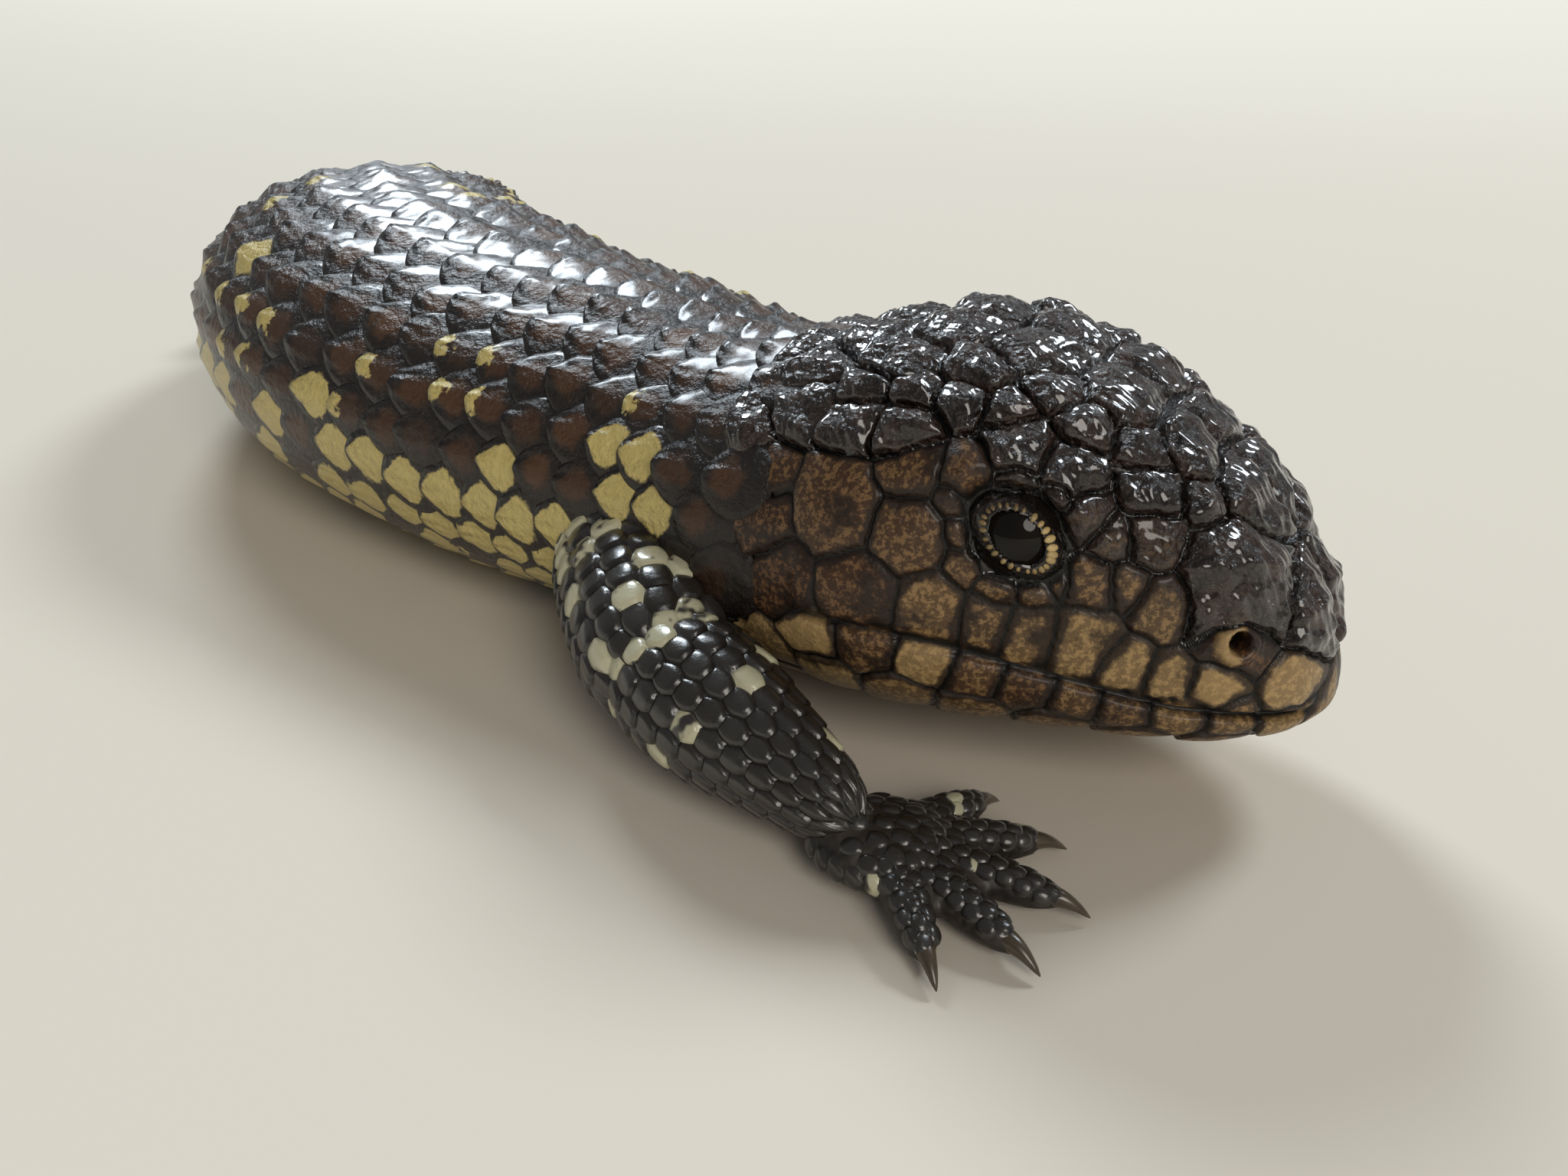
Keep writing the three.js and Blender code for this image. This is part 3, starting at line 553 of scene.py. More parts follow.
# dark grooves between the shields, and painted shade in the same black along the mouth line and in the
# nostrils and ears
groove = head_horn.ramp(head_horn.field("groove"), 0.3, 0.9)
head_horn.finish("Base Color", head_horn.blend(groove, horn, GROOVE_AND_SHADE_BLACK))
hammered = head_horn.add(head_horn.noise(950, 3, 0.5), head_horn.times(head_horn.pits(1300), 0.5))
hammered = head_horn.times(head_horn.times(hammered, black), 2.1)
grain = head_horn.times(head_horn.noise(1100, 4), 0.35)
head_horn.bump(head_horn.add(hammered, grain), 1.0, 0.0007)

# The skin under the scales of the trunk, tail and legs is thin, dark and finely granular. It is
# drawn over the trunk and the limbs as one sheet, so that the legs grow out of it with no seam,
# and is one piece with the head.

# Each leg has its side, then its root, elbow or knee, wrist and palm, as distance along the
# spine, distance aside and height, and then its radii from root to wrist.
LEGS = {
    "front_right": (1, (83, 18, 16), (65, 32, 12.5), (43, 37.5, 7.5), (37, 36.5, 4), (9.5, 8.6, 6.2)),
    "front_left": (-1, (91, 16, 18), (90, 41, 15), (67, 45, 7.5), (59, 46, 4), (9.5, 8.6, 6.2)),
    "hind_right": (1, (278, 12, 15), (266, 36, 14), (289, 41, 7.5), (299, 42, 4), (11.5, 9.6, 6.6)),
    "hind_left": (-1, (278, 12, 15), (266, 36, 14), (289, 41, 7.5), (299, 42, 4), (11.5, 9.6, 6.6)),
}
LOWER_WAIST = 0.24
JOINT_OVERLAP = 0.7
PALM_HALF = (8.2, 6.8, 3.6)
PALM_HEIGHT = 3.6
# the turn of each toe from the foot's own way, and its length
TOES = ((-58, 8), (-28, 10.5), (0, 12), (27, 11), (56, 8))
TOE_RADII = (2.3, 1.75)
KNUCKLE_AHEAD = 4.5
TIP_AHEAD = 6
TIP_HEIGHT = 2.2
# how far under the body's own surface the sheet lies, so that the scales stand on it
TRUNK_SUNK = -1.0
LIMB_SUNK = -0.35
SHEET_CELL = 0.0008
FLOOR_GAP = 0.05


class Limb:
    """One length of a leg, from joint to joint, thick then thin and rounded at both ends."""

    def __init__(self, start, end, thick, thin, waist=0.0):
        axis = end - start
        self.length = np.linalg.norm(axis) + JOINT_OVERLAP * (thick + thin)
        self.axis = axis / np.linalg.norm(axis)
        self.start = start - JOINT_OVERLAP * thick * self.axis
        self.side = np.cross((0, 0, 1), self.axis)
        self.side /= np.linalg.norm(self.side)
        self.over = np.cross(self.axis, self.side)
        self.thick = thick
        self.thin = thin
        self.waist = waist

    def radius(self, t):
        t = np.clip(t, 0.004, 0.996)
        ends = np.sqrt(1 - np.abs(2 * t - 1) ** 4)
        straight = (self.thick + (self.thin - self.thick) * t) * (1 + 0.1 * np.sin(np.pi * t))
        return straight * ends * (1 - self.waist * ease((t - 0.35) / 0.5))

    def point(self, t, degrees, lift=0.0):
        t, degrees, lift = np.broadcast_arrays(np.asarray(t, float), degrees, lift)
        radius = (self.radius(t) + lift)[..., None]
        way = (t * self.length)[..., None] * self.axis
        turn = np.radians(degrees)[..., None]
        return self.start + way + radius * (np.cos(turn) * self.side + np.sin(turn) * self.over)

    def depth(self, points):
        """How far inside the limb each point lies, negative outside."""
        along = np.clip((points - self.start) @ self.axis / self.length, 0.03, 0.97)
        centre = self.start + along[..., None] * self.length * self.axis
        return self.radius(along) - np.linalg.norm(points - centre, axis=-1)


limbs = {}
feet = {}
toes = []
for name, (side, *joints, radii) in LEGS.items():
    root, elbow, wrist, palm = (from_spine(at, side * aside, height) for at, aside, height in joints)
    limbs[name + "_upper"] = Limb(root, elbow, radii[0] + 0.4, radii[1] + 0.3)
    limbs[name + "_lower"] = Limb(elbow, wrist, radii[1], radii[2], LOWER_WAIST)
    forward = palm - wrist
    heading = math.atan2(forward[1], forward[0])
    feet[name] = (palm, heading)
    for turn, length in TOES:
        angle = heading - math.radians(side * turn)
        along = np.array((math.cos(angle), math.sin(angle), 0))
        knuckle = palm * (1, 1, 0) + along * KNUCKLE_AHEAD + (0, 0, PALM_HEIGHT)
        tip = palm * (1, 1, 0) + along * (TIP_AHEAD + length) + (0, 0, TIP_HEIGHT)
        toes.append((name, knuckle, tip, along))


def tube(points):
    """A closed tube of rings as one mesh island, with a middle point at each end."""
    rings, sides = points.shape[:2]
    flat = np.vstack([points.reshape(-1, 3), points[0].mean(0), points[-1].mean(0)])
    around = np.arange(sides)
    following = (around + 1) % sides
    first_middle = np.full(sides, rings * sides)
    first = np.stack([following, around, first_middle], axis=-1)
    last_ring = (rings - 1) * sides
    last = np.stack([around + last_ring, following + last_ring, first_middle + 1], axis=-1)
    return flat, grid_faces(rings, sides, True), np.vstack([first, last])


def joined(islands):
    """Several tubes as one list of points and one of triangles."""
    points = []
    faces = []
    count = 0
    for flat, quads, ends in islands:
        points.append(flat)
        faces += [quads[:, [0, 1, 2]] + count, quads[:, [0, 2, 3]] + count, ends + count]
        count += len(flat)
    return np.vstack(points), np.vstack(faces)


trunk_rings = np.r_[56:376:1.6, 376.5, 377.4]
trunk_at, trunk_side = np.meshgrid(trunk_rings, np.arange(0, 360, 5.0), indexing="ij")
towards_tip = np.minimum(1, (TOTAL_LENGTH - trunk_at) / 6)
islands = [tube(skin_point(trunk_at, trunk_side, TRUNK_SUNK * towards_tip))]
limb_t, limb_turn = np.meshgrid(np.linspace(0, 1, 26), np.arange(0, 360, 12.0), indexing="ij")
for limb in limbs.values():
    islands.append(tube(limb.point(limb_t, limb_turn, LIMB_SUNK)))
polar, turn = np.meshgrid(np.linspace(4, 176, 14), np.arange(0, 360, 15.0), indexing="ij")
polar, turn = np.radians(polar), np.radians(turn)
length, breadth, depth = PALM_HALF
pad = [
    -length * np.cos(polar),
    breadth * np.sin(polar) * np.cos(turn),
    depth * np.sin(polar) * np.sin(turn),
]
pad = np.stack(pad, axis=-1)
for palm, heading in feet.values():
    cosine, sine = math.cos(heading), math.sin(heading)
    spin = np.array(((cosine, sine, 0), (-sine, cosine, 0), (0, 0, 1)))
    islands.append(tube(pad @ spin + palm * (1, 1, 0) + (0, 0, PALM_HEIGHT)))
for name, knuckle, tip, along in toes:
    toe = Limb(knuckle, tip, *TOE_RADII)
    islands.append(tube(toe.point(limb_t, limb_turn)))
core_points, core_faces = joined(islands)
core_mesh = bpy.data.meshes.new("core")
core_mesh.from_pydata((core_points * 0.001).tolist(), [], core_faces.tolist())
core = bpy.data.objects.new("core", core_mesh)
bpy.context.scene.collection.objects.link(core)
remesh = core.modifiers.new("one_sheet", "REMESH")
remesh.mode = "VOXEL"
remesh.voxel_size = SHEET_CELL
smooth = core.modifiers.new("soft", "SMOOTH")
smooth.factor = 0.5
smooth.iterations = 3
sheet = core.evaluated_get(bpy.context.evaluated_depsgraph_get()).to_mesh()
sheet_points = np.empty(len(sheet.vertices) * 3, np.float32)
sheet.vertices.foreach_get("co", sheet_points)
sheet_points = sheet_points.reshape(-1, 3) * 1000
sheet_points[:, 2] = np.maximum(sheet_points[:, 2], FLOOR_GAP)
corners = np.empty(len(sheet.loops), np.int32)
sheet.loops.foreach_get("vertex_index", corners)
sheet_faces = corners.reshape(-1, 4)
core.to_mesh_clear()
bpy.data.objects.remove(core)

HIDE_DARK = ((0.012, 0.01, 0.008), (0.03, 0.022, 0.015))
hide = Paint("hide", 0.55, 0.1)
hide.finish("Base Color", hide.blend(hide.ramp(hide.noise(110, 3), 0.5, 0.62), *HIDE_DARK))
hide.bump(hide.pits(900), 0.7, 0.0005)


def mesh_piece(name, points, faces, material, fields=None, place=None):
    """A smooth mesh from millimetres, with a value at each point for each field."""
    mesh = bpy.data.meshes.new(name)
    mesh.vertices.add(len(points))
    mesh.vertices.foreach_set("co", np.ascontiguousarray(points, np.float32).ravel() * 0.001)
    mesh.loops.add(faces.size)
    mesh.loops.foreach_set("vertex_index", faces.ravel().astype(np.int32))
    mesh.polygons.add(len(faces))
    starts = np.arange(0, faces.size, faces.shape[1], dtype=np.int32)
    mesh.polygons.foreach_set("loop_start", starts)
    for field, values in (fields or {}).items():
        layer = mesh.attributes.new(field, "FLOAT", "POINT")
        layer.data.foreach_set("value", np.ascontiguousarray(values, np.float32).ravel())
    if place is not None:
        uv = mesh.uv_layers.new(name="OFBake")
        uv.data.foreach_set("uv", place[faces.ravel()].astype(np.float32).ravel())
    mesh.update(calc_edges=True)
    mesh.shade_smooth()
    mesh.materials.append(material)
    piece = bpy.data.objects.new(name, mesh)
    bpy.context.scene.collection.objects.link(piece)
    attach(piece, "root")
    return piece


skin_points = np.vstack([head_points, sheet_points])
skin_faces = np.vstack([head_faces, sheet_faces + len(head_points)])
no_shields = np.zeros(len(sheet_points))
skin_fields = {name: np.r_[values, no_shields] for name, values in head_fields.items()}
skin = mesh_piece("skin", skin_points, skin_faces, head_horn.material, skin_fields)
skin.data.materials.append(hide.material)
on_sheet = np.r_[np.zeros(len(head_faces)), np.ones(len(sheet_faces))].astype(np.int32)
skin.data.polygons.foreach_set("material_index", on_sheet)
flesh = [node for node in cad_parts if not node.startswith("eye")]
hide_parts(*flesh)

# Each scale of the trunk and tail is a thick cone of horn, rooted at its front edge, with a blunt
# keel and a raised hind tip that lies over the next scales. They are black and russet, and some
# are straw-coloured, singly or in bands down the sides.
SCALE_TRIANGLES = 190000
UNDERSIDE = -0.5
ROOT_DEPTH = -1.2
LOWEST = 0.02
ROUGHNESS_OF_HORN = 0.1
BAKE_PATCH = 0.0015


def scales_of(name, surface, roots, sizes, finish, dome=0.0, count=13, blunt=0.66):
    """Closed scales over a surface that takes distance, angle and lift, in pieces of limited size.

    The roots are distances and angles, the sizes are lengths, breadths, lifts and keels, and the
    finish is a material, the fields that it reads and each scale's place on the flat sheet that
    its colours are baked on.
    """
    material, fields, place = finish
    u, v = np.meshgrid(np.linspace(-1, 1, count), np.linspace(-1, 1, count), indexing="ij")
    across = v * np.where(u > 0, 1 - blunt * np.abs(u) ** 1.8, 1 - 0.6 * np.abs(u) ** 2)
    inside = np.maximum(np.abs(u), np.abs(v)) < 0.999
    climb = 0.12 + 0.88 * ((u + 1) / 2) ** 1.25
    ridge = np.exp(-((v / 0.34) ** 2)) * ((u + 1) / 2) ** 0.8
    bulge = dome * (1 - np.clip(u**2 + v**2, 0, 1)) ** 0.7
    order = np.arange(count)
    sides = (order, order * count + count - 1, count**2 - 1 - order, order[::-1] * count)
    rim = np.concatenate([line[:-1] for line in sides])
    top = grid_faces(count, count, False)
    under = np.stack([np.roll(rim, -1), rim, np.full(len(rim), count * count)], axis=-1)
    triangles = np.vstack([top[:, [2, 1, 0]], top[:, [3, 2, 0]], under])
    each = count * count + 1
    limit = SCALE_TRIANGLES // len(triangles)
    total = len(roots[0])
    for begin in range(0, total, limit):
        chosen = slice(begin, begin + limit)
        a, d, l, b, h, k = (np.broadcast_to(x, total)[chosen, None, None] for x in (*roots, *sizes))
        height = np.where(inside, h * climb * (1 - 0.5 * v**2) + k * ridge + bulge, UNDERSIDE)
        points = surface(a + 0.5 * l * (u * 1.12 + 0.1), d + 0.5 * b * across * 1.06, height)
        rough = ROUGHNESS_OF_HORN * h * knobs(points, 1.7)
        points = points + inside[..., None] * rough[..., None] * (0, 0, 1)
        made = len(points)
        middle = surface(a[:, :, 0], d[:, :, 0], ROOT_DEPTH)
        flat = np.concatenate([points.reshape(made, -1, 3), middle], axis=1).reshape(-1, 3)
        flat[:, 2] = np.maximum(flat[:, 2], LOWEST)
        faces = (triangles[None] + (np.arange(made) * each)[:, None, None]).reshape(-1, 3)
        values = {key: np.repeat(value[chosen], each) for key, value in fields.items()}
        values["along"] = np.tile(np.r_[u.ravel(), 0], made)
        values["across"] = np.tile(np.r_[v.ravel(), 0], made)
        local = BAKE_PATCH * np.r_[np.stack([u, v], axis=-1).reshape(-1, 2), [[0, 0]]]
        where = (place[chosen, None] + local[None]).reshape(-1, 2)
        piece = mesh_piece(f"{name}_{begin // limit}", flat, faces, material, values, where)


COLUMNS = 24
FIRST_ROW = 62.0
# the gap between rows at the neck, how much it grows over the trunk and shrinks over the tail
NECK_GAP = 5.6
TRUNK_GAP_MORE = 3.2
TAIL_GAP_LESS = 0.6
SCALE_LENGTH = 1.36
SCALE_BREADTH = 0.8
KEEL = 0.34
# how likely a scale is to be straw all over, by how far up the side it lies, in degrees
STRAW_HEIGHTS = (-50, -30, -14, 0, 10, 25, 90)
STRAW_CHANCES = (0.9, 0.92, 0.8, 0.45, 0.12, 0.03, 0.01)
# the whole straw scales and the straw flecks of the right side of the neck and chest
NECK_SPOTS = (
    (78, 36), (71, 35), (74, 26), (69, 22), (76, 13), (71, 14), (68, 10), (74, 5), (80, -3),
    (76, -6), (86, 7), (96, 8), (105, 1), (90, -2), (97, -6), (104, -14), (114, -20), (117, 2),
    (124, -7), (126, 3), (132, 0), (135, 10), (150, 6),
)
NECK_FLECKS = (
    (128, 22), (121, 21), (111, 42), (104, 45), (105, 23), (98, 28), (76, 43), (154, 33), (149, 26),
    (159, 21), (151, 17),
)
rows = [FIRST_ROW]
while rows[-1] < TOTAL_LENGTH - 4:
    here = rows[-1]
    wider = TRUNK_GAP_MORE * float(ease((here - 66) / 60))
    closer = TAIL_GAP_LESS * float(ease((here - 250) / 60))
    rows.append(here + NECK_GAP + wider - closer)
rows = np.array(rows)
row_index, column_index = np.meshgrid(np.arange(len(rows) - 1), np.arange(COLUMNS), indexing="ij")
gap = np.diff(rows)[row_index]
stagger = np.where(column_index % 2, 0.5, 0.0)
scale_at = (rows[row_index] + stagger * gap).ravel()
scale_angle = (column_index * 360 / COLUMNS).ravel() - 90.0
scale_gap = gap.ravel()
keep = scale_at < TOTAL_LENGTH - 5
scale_at, scale_angle, scale_gap = scale_at[keep], scale_angle[keep], scale_gap[keep]
scale_count = len(scale_at)
scale_at = scale_at + dice.normal(0, 0.4, scale_count)
scale_angle = scale_angle + dice.normal(0, 0.9, scale_count)
upness = np.sin(np.radians(scale_angle))
towards_tip = ease((TOTAL_LENGTH - scale_at) / 26)
neck = ease((scale_at - FIRST_ROW) / 50)
raised = np.where(upness > -0.25, 0.9 + 1.8 * ease(upness + 0.3), 0.6)
raised = raised * (0.6 + 0.4 * neck) * (0.4 + 0.6 * towards_tip)
raised = raised * dice.uniform(0.8, 1.15, scale_count)
keels = np.where(upness > -0.1, KEEL, 0.05) * dice.uniform(0.6, 1.3, scale_count)
straw_chance = np.interp(np.degrees(np.arcsin(upness)), STRAW_HEIGHTS, STRAW_CHANCES)
cream = dice.random(scale_count) < straw_chance
fleck_chance = 0.12 + 0.1 * ease((upness + 0.2) / 0.3) - 0.12 * ease((upness - 0.75) / 0.2)
fleck = (dice.random(scale_count) < fleck_chance).astype(float)
chest = (np.cos(np.radians(scale_angle)) > 0) & (scale_at < 165) & (scale_angle > -8)
cream[chest] = False
fleck[chest] = 0
for marks, spots in ((cream, NECK_SPOTS), (fleck, NECK_FLECKS)):
    for at, angle in spots:
        marks[np.argmin(np.hypot(scale_at - at, (scale_angle - angle) * 0.5))] = 1
body_fields = {
    "cream": cream.astype(float),
    "fleck": fleck,
    "tint": dice.random(scale_count),
    "brown": np.clip(ease((upness + 0.3) / 0.4) * dice.uniform(0.4, 1.1, scale_count), 0, 1),
}
body_place = np.c_[0.02 + 0.94 * scale_at / 400, 0.02 + 0.94 * ((scale_angle + 90) % 360) / 360]

JET = ((0.008, 0.006, 0.005), (0.02, 0.014, 0.011))
RUSSET = ((0.052, 0.023, 0.01), (0.1, 0.046, 0.019))
STRAW = ((0.46, 0.36, 0.115), (0.66, 0.54, 0.21))
scale_horn = Paint("scale_horn", 0.36, 0.36, specular=0.3)
along = scale_horn.field("along")
across = scale_horn.field("across")
across_squared = scale_horn.times(across, across)
hindward = scale_horn.less(along, 0.2)
from_middle = scale_horn.add(across_squared, scale_horn.times(hindward, hindward))
from_middle = scale_horn.maths("POWER", from_middle, 0.5)
# a russet heart with a ragged edge
ragged = scale_horn.add(from_middle, scale_horn.times(scale_horn.noise(420, 3), 0.8))
heart = scale_horn.less(1.0, scale_horn.ramp(ragged, 0.66, 1.0))
heart = scale_horn.times(heart, scale_horn.field("brown"))
jet = scale_horn.blend(scale_horn.noise(400, 4), *JET)
russet = scale_horn.blend(scale_horn.field("tint"), *RUSSET)
dark = scale_horn.blend(heart, jet, russet)
# straw over the whole scale, or as a fleck at its tip
straw = scale_horn.blend(scale_horn.noise(600, 4), *STRAW)
tip = scale_horn.add(along, scale_horn.times(scale_horn.noise(500, 3), 1.1))
tip = scale_horn.less(tip, scale_horn.times(across_squared, 0.7))
flecked = scale_horn.times(scale_horn.field("fleck"), scale_horn.ramp(tip, 0.98, 1.08))
oval = scale_horn.add(from_middle, scale_horn.times(scale_horn.noise(420, 3), 0.45))
oval = scale_horn.less(1.0, scale_horn.ramp(oval, 0.76, 0.86))
whole = scale_horn.times(scale_horn.field("cream"), oval)
straw_cover = scale_horn.maths("MAXIMUM", whole, flecked)
scale_horn.finish("Base Color", scale_horn.blend(straw_cover, dark, straw))
# faint ribs that fan out from the root
fan = scale_horn.maths("DIVIDE", across, scale_horn.add(along, 1.9))
fan = scale_horn.add(scale_horn.times(fan, 34.0), scale_horn.times(scale_horn.noise(350, 3), 5.0))
ribs = scale_horn.times(scale_horn.ramp(along, -0.3, 0.7), 0.2)
ribs = scale_horn.times(scale_horn.maths("SINE", fan), ribs)
scale_horn.bump(scale_horn.add(ribs, scale_horn.noise(900, 4, 0.6)), 0.9, 0.0007)

scale_sizes = (SCALE_LENGTH * scale_gap, 2 * 360 / COLUMNS * SCALE_BREADTH, raised, keels)
body_finish = (scale_horn.material, body_fields, body_place)
body_roots = (scale_at, scale_angle)
scales_of("trunk_scales", skin_point, body_roots, scale_sizes, body_finish, blunt=0.8)

# The scales of the legs are small, smooth and shingled, slate black with some cream ones above.
# They stand in rings round each length of a leg, wherever it lies clear of its neighbours.
LEG_SCALES_AROUND = 16
LEG_SCALE_LIFT = 0.6
UPPER_STEP = 3.5
LOWER_STEP = 3.2
SLATE = ((0.012, 0.011, 0.01), (0.045, 0.04, 0.036))
SLATE_BROWN = (0.02, 0.016, 0.012)
SLATE_EDGE = (0.006, 0.005, 0.004)
BONE = ((0.4, 0.38, 0.24), (0.58, 0.56, 0.4))
limb_horn = Paint("limb_horn", 0.32, 0.5)
slate = limb_horn.blend(limb_horn.noise(300, 3), *SLATE)
slate = limb_horn.blend(limb_horn.field("tint"), slate, SLATE_BROWN)
slate = limb_horn.blend(limb_horn.ramp(limb_horn.field("along"), 0.35, 0.95), slate, SLATE_EDGE)
bone = limb_horn.blend(limb_horn.noise(350, 3), *BONE)
patch = limb_horn.ramp(limb_horn.noise(260, 2), 0.36, 0.44)
patch = limb_horn.times(limb_horn.field("cream"), patch)
limb_horn.finish("Base Color", limb_horn.blend(patch, slate, bone))
limb_horn.bump(limb_horn.noise(1100, 3), 0.25, 0.0004)


def body_depth(points):
    """How far inside the trunk each point lies, roughly in millimetres."""
    flat = points.reshape(-1, 3)
    apart = np.linalg.norm(flat[:, None, :2] - spine_plan[None, ::2], axis=-1)
    at = np.clip(2.0 * np.argmin(apart, axis=1), 0, TOTAL_LENGTH - 2)
    offset = flat[:, :2] - spine_plan[at.astype(int)]
    heading = heading_at(at)
    across = np.abs(-np.sin(heading) * offset[:, 0] + np.cos(heading) * offset[:, 1])
    rounding = end_rounding(at)
    up = flat[:, 2] - section_value(MIDDLE, at)
    tall = np.where(up > 0, section_value(ABOVE, at), section_value(BELOW, at)) * rounding
    half = section_value(HALF_WIDTH, at) * rounding
    outside = ((across / half) ** 2.2 + (np.abs(up) / tall) ** 2.2) ** (1 / 2.2)
    return ((1 - outside) * np.minimum(half, tall)).reshape(points.shape[:-1])


def dress_limb(name, limb, neighbour, step, cream_chance):
    """Shingles one length of a leg wherever it lies clear of the trunk and of the other length."""
    lengths = np.arange(0.08, 0.99, step / limb.length)
    columns = np.arange(LEG_SCALES_AROUND)
    t, column = (grid.ravel() for grid in np.meshgrid(lengths, columns, indexing="ij"))
    turn = column * 360.0 / LEG_SCALES_AROUND
    t = t + np.where(column % 2, 0.5, 0.0) * step / limb.length
    centre = limb.point(t, turn)
    free = (body_depth(centre) < 0.8) & (centre[:, 2] > 0.5) & (t < 0.97)
    free &= neighbour.depth(centre) < 0.5
    t, turn = t[free], turn[free]
    cream = dice.random(len(t)) < cream_chance(t, np.sin(np.radians(turn)))
    fields = {"cream": cream.astype(float), "tint": dice.random(len(t))}
    place = np.c_[0.05 + 0.9 * t, 0.05 + 0.9 * turn / 360]
    finish = (limb_horn.material, fields, place)
    sizes = (1.2 * step / limb.length, 2 * 360 / LEG_SCALES_AROUND * 0.6, LEG_SCALE_LIFT, 0)
    scales_of(f"{name}_scales", limb.point, (t, turn), sizes, finish, dome=0.22, count=9)


def cream_above(t, up):
    return 0.34 * ease(up + 0.3)


def cream_at_elbow(t, up):
    return 0.05 + 0.55 * (t < 0.22) * ease(up + 0.2)


for leg in LEGS:
    upper, lower = limbs[leg + "_upper"], limbs[leg + "_lower"]
    dress_limb(leg + "_upper", upper, lower, UPPER_STEP, cream_above)
    dress_limb(leg + "_lower", lower, upper, LOWER_STEP, cream_at_elbow)

# The backs of the hands and feet carry small scales, and each toe a row of narrow plates. Each
# is rooted where a line from above, or from inside the palm, meets the skin.
OVERHEAD = 15
DOWN = np.array((0, 0, -1.0))
PALM_SCALE = 2.5
TOE_SCALE = 2.1
TOE_STEP = 1.9
FOOT_SCALE_LIFT = 0.35
FOOT_HOLLOW = 9
FOOT_CREAM_CHANCE = 0.06
low = np.all(sheet_points[sheet_faces][:, :, 2] < 10, axis=1)
foot_tree = BVHTree.FromPolygons(sheet_points.tolist(), sheet_faces[low].tolist())


def scale_root(start, way, reach, steepest, flattest, forth, size):
    """Where a line from start meets the skin of a foot, if the skin there slopes as asked."""
    hit, up, _, _ = foot_tree.ray_cast(Vector(start), Vector(way), reach)
    if hit is None or hit.z < 0.9 or not steepest < up.z < flattest:
        return []
    up = np.array(up)
    forth = forth - up * (forth @ up)
    forth = forth / np.linalg.norm(forth)
    return [(np.array(hit), forth, np.cross(up, forth), up, size)]


for leg, (palm, heading) in feet.items():
    ahead = np.array((math.cos(heading), math.sin(heading), 0))
    aside = np.array((-math.sin(heading), math.cos(heading), 0))
    over_palm = palm * (1, 1, 0) + (0, 0, OVERHEAD)
    spots = []
    for i in range(7):
        for j in range(7):
            start = over_palm + ahead * (2.3 * i - 9) + aside * (2.5 * j + 1.25 * (i % 2) - 8.1)
            spots += scale_root(start, DOWN, OVERHEAD, 0.6, 1.1, ahead, PALM_SCALE)
    in_palm = palm * (1, 1, 0) + (0, 0, 3.0)
    forth = 0.8 * ahead + 0.6 * DOWN
    for climb in (8, 34):
        for swing in range(0, 360, 18):
            turn, rise = math.radians(swing + climb), math.radians(climb)
            way = math.cos(turn) * ahead + math.sin(turn) * aside
            way = math.cos(rise) * way - math.sin(rise) * DOWN
            spots += scale_root(in_palm, way, 9.5, -0.3, 0.6, forth, PALM_SCALE)
    for name, knuckle, tip, along in toes:
        if name == leg:
            beside = np.cross((0, 0, 1.0), along)
            over_knuckle = knuckle * (1, 1, 0) + (0, 0, OVERHEAD)
            for i in range(int(np.linalg.norm(tip - knuckle) / TOE_STEP) + 1):
                for j in (-1, 0, 1):
                    step = along * (TOE_STEP * i + TOE_STEP / 2 * (j != 0)) + beside * 1.35 * j
                    spots += scale_root(over_knuckle + step, DOWN, OVERHEAD, 0.15, 1.1, along, TOE_SCALE)
    roots, forths, sides, ups = (np.array([spot[k] for spot in spots]) for k in range(4))
    sizes = np.array([spot[4] for spot in spots])

    def on_foot(ahead_of_root, aside_of_root, lift):
        """Places round each scale's own root. The hundreds of the first value number the scale."""
        which = np.round(ahead_of_root / 100).astype(int)
        forward = ahead_of_root - 100 * which
        drop = lift - (forward**2 + aside_of_root**2) / FOOT_HOLLOW
        place = roots[which] + forward[..., None] * forths[which]
        return place + aside_of_root[..., None] * sides[which] + drop[..., None] * ups[which]

    total = len(spots)
    cream = dice.random(total) < FOOT_CREAM_CHANCE
    fields = {"cream": cream.astype(float), "tint": dice.random(total)}
    place = 0.05 + 0.9 * (roots[:, :2] - roots[:, :2].min(0)) / 60
    numbers = (100.0 * np.arange(total), 0)
    scale_sizes = (sizes * 1.15, sizes * 1.05, FOOT_SCALE_LIFT, 0)
    finish = (limb_horn.material, fields, place)
    foot = leg + "_foot"
    scales_of(foot + "_scales", on_foot, numbers, scale_sizes, finish, dome=0.15, count=7)

# The eye is small and dark, set in a black ring edged with a row of straw-coloured beads. The
# ball is glossy and stands in the socket of the skin, and the beads sit on the edge of the lid.
BEADS = 26
BEAD_RING = 3.15
BEAD_HALF = (0.62, 0.38, 0.3)
BEAD_LEAN = 0.75
BEAD_SHADES = ((0.11, 0.07, 0.028), (0.55, 0.4, 0.17))
EYE_DARK = ((0.003, 0.003, 0.003), (0.012, 0.008, 0.006))
eye_paint = Paint("eye_glass", 0.05, 0.0, coat_roughness=0.02, specular=0.22)
eye_paint.finish("Base Color", eye_paint.blend(eye_paint.noise(300, 2), *EYE_DARK))
bead_paint = Paint("lid_beads", 0.4, 0.2)
# each bead's colour runs from dark to pale by its own tone, with a painted highlight on the upper front
# beads
bead_paint.finish("Base Color", bead_paint.blend(bead_paint.field("shade"), *BEAD_SHADES))


def globe(rings, sides, first=4):
    """Points of a ball of radius 1 in rings, with its poles left open by some degrees."""
    polar, turn = np.meshgrid(np.linspace(first, 180 - first, rings), np.arange(sides), indexing="ij")
    polar, turn = np.radians(polar), np.radians(turn * (360 / sides))
    return np.cos(polar), np.sin(polar) * np.cos(turn), np.sin(polar) * np.sin(turn)


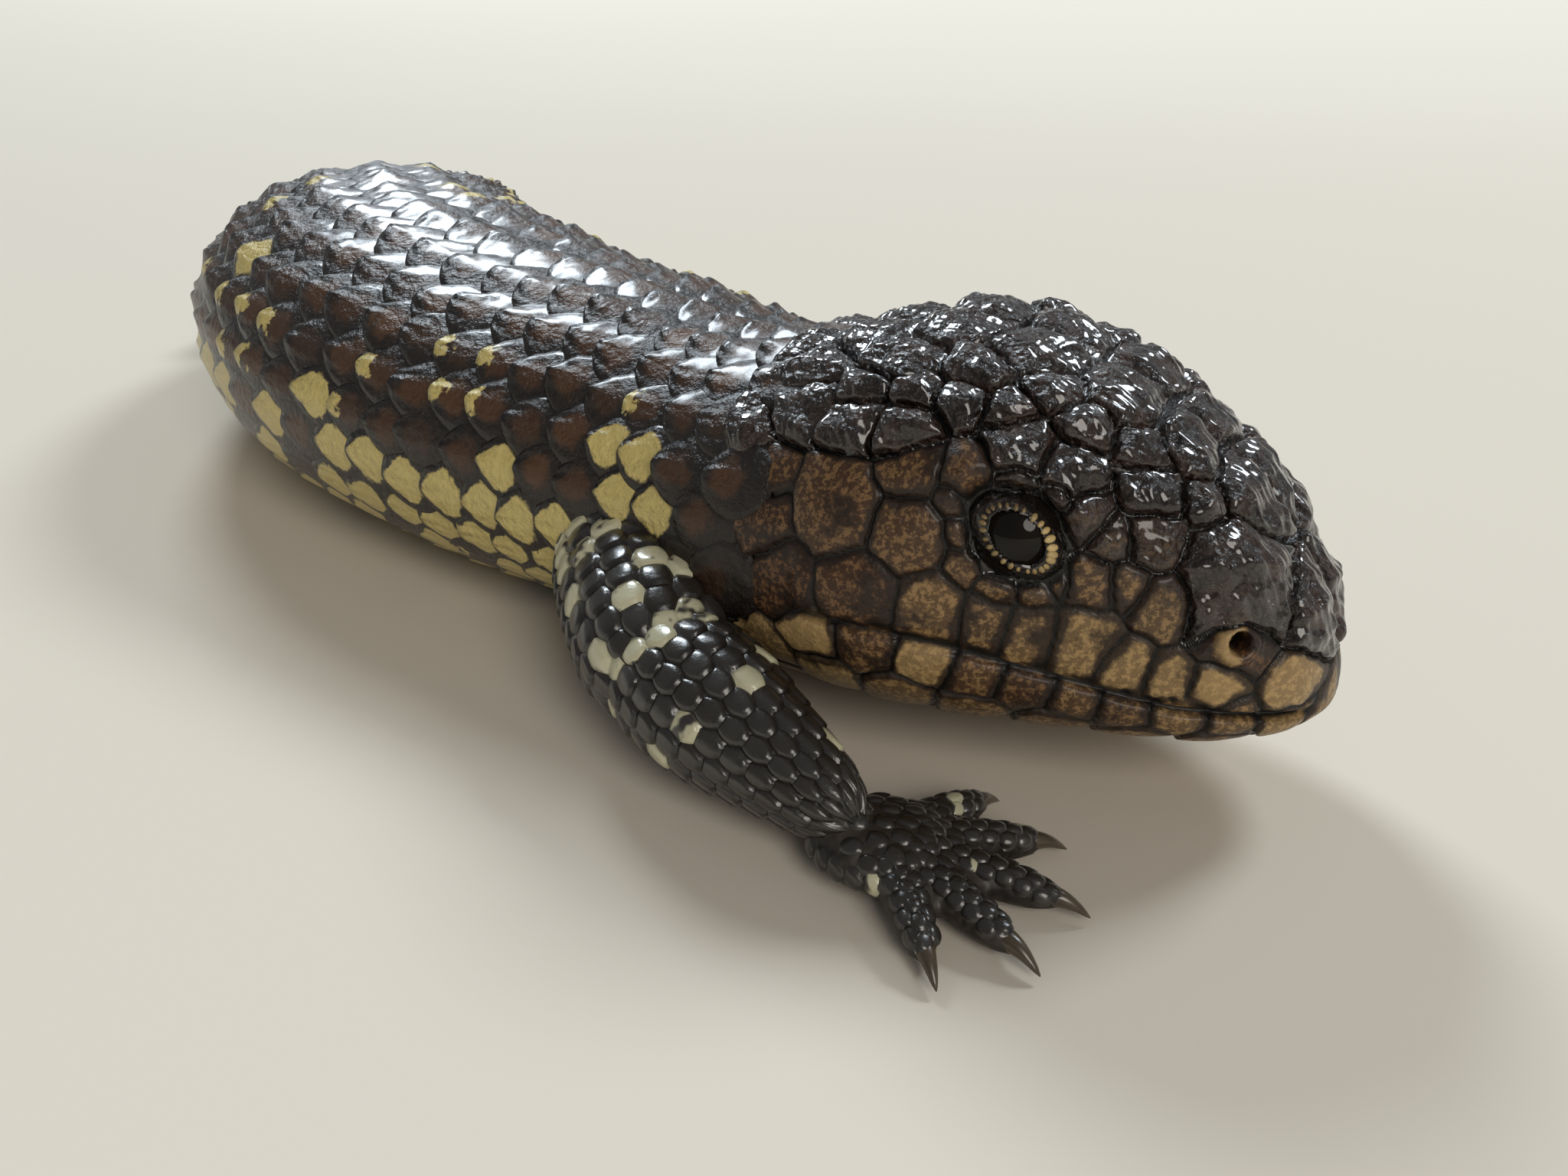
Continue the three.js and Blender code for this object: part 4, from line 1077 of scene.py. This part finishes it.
for side_name, eye_side in (("right", 1), ("left", -1)):
    centre, normal, along, across, _ = eye_place(np.zeros(3), eye_side)
    z, x, y = globe(40, 60, 0.5)
    ball = (centre - EYE_DEPTH * normal) + EYE_RADIUS * np.stack([x, y, z], axis=-1)
    eye = mesh_piece(f"eyeball_{side_name}", *joined([tube(ball)]), eye_paint.material)
    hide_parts(f"eye_{side_name}")
    beads = []
    bead_pale_and_highlight = []
    height = math.sqrt(EYE_RADIUS**2 - BEAD_RING**2) - EYE_DEPTH + 0.45
    for k in range(BEADS):
        turn = 2 * math.pi * (k + dice.uniform(-0.15, 0.15)) / BEADS
        # the beads are largest above the front of the eye, and palest there by a painted highlight where
        # light falls on the top of the ring; the lower beads are paler in their own colour
        front_top_highlight = 0.85 * math.exp(-(((turn - 2.3) / 0.75) ** 2))
        below = 0.4 * math.exp(-(((turn - 4.4) / 0.9) ** 2))
        size = (0.66 + 0.46 * front_top_highlight) * dice.uniform(0.8, 1.2)
        oval = EYE_OVAL[0] * math.cos(turn) * along + EYE_OVAL[1] * math.sin(turn) * across
        middle = centre + height * normal + BEAD_RING * oval
        radial = math.cos(turn) * along + math.sin(turn) * across - BEAD_LEAN * normal
        radial = radial / np.linalg.norm(radial)
        ringwise = np.cross(normal, radial)
        ringwise = ringwise / np.linalg.norm(ringwise)
        axes = (radial, ringwise, np.cross(radial, ringwise))
        parts = zip(globe(9, 12), axes, BEAD_HALF)
        bead = sum(part[..., None] * axis * half for part, axis, half in parts)
        beads.append(tube(middle + size * bead))
        bead_pale_and_highlight += [front_top_highlight + below + dice.uniform(0.0, 0.25)] * len(beads[-1][0])
    beads_name = f"lid_beads_{side_name}"
    mesh_piece(beads_name, *joined(beads), bead_paint.material, {"shade": np.array(bead_pale_and_highlight)})

# The claws are short, hooked and dark, of the same horn as the scales. Each is a curved spike,
# rooted in the end of its toe.
CLAW_LENGTH = 3.8
CLAW_ROOT = 1.4
CLAW_RADIUS = 1.25
CLAW_ARCH = 0.5
CLAW_HOOK = 1.3
UP = np.array((0, 0, 1.0))
CLAW_BROWN = ((0.02, 0.015, 0.01), (0.1, 0.07, 0.04))
claw_paint = Paint("claw_horn", 0.3, 0.3)
claw_paint.finish("Base Color", claw_paint.blend(claw_paint.noise(500, 3), *CLAW_BROWN))
for leg in LEGS:
    claws = []
    for name, knuckle, tip, along in toes:
        if name != leg:
            continue
        t = np.linspace(0, 1, 10)[:, None]
        bow = CLAW_ARCH * np.sin(np.pi * t) - CLAW_HOOK * t**2
        middle = tip + along * (t * (CLAW_LENGTH + CLAW_ROOT) - CLAW_ROOT) + UP * bow
        radius = CLAW_RADIUS * (1 - t) ** 0.7 + 0.08
        turn = np.radians(np.arange(0, 360, 36.0))[None, :, None]
        ring = np.cos(turn) * np.cross((0, 0, 1), along) + np.sin(turn) * UP
        claws.append(tube(middle[:, None] + radius[..., None] * ring))
    mesh_piece(f"claws_{leg}", *joined(claws), claw_paint.material)
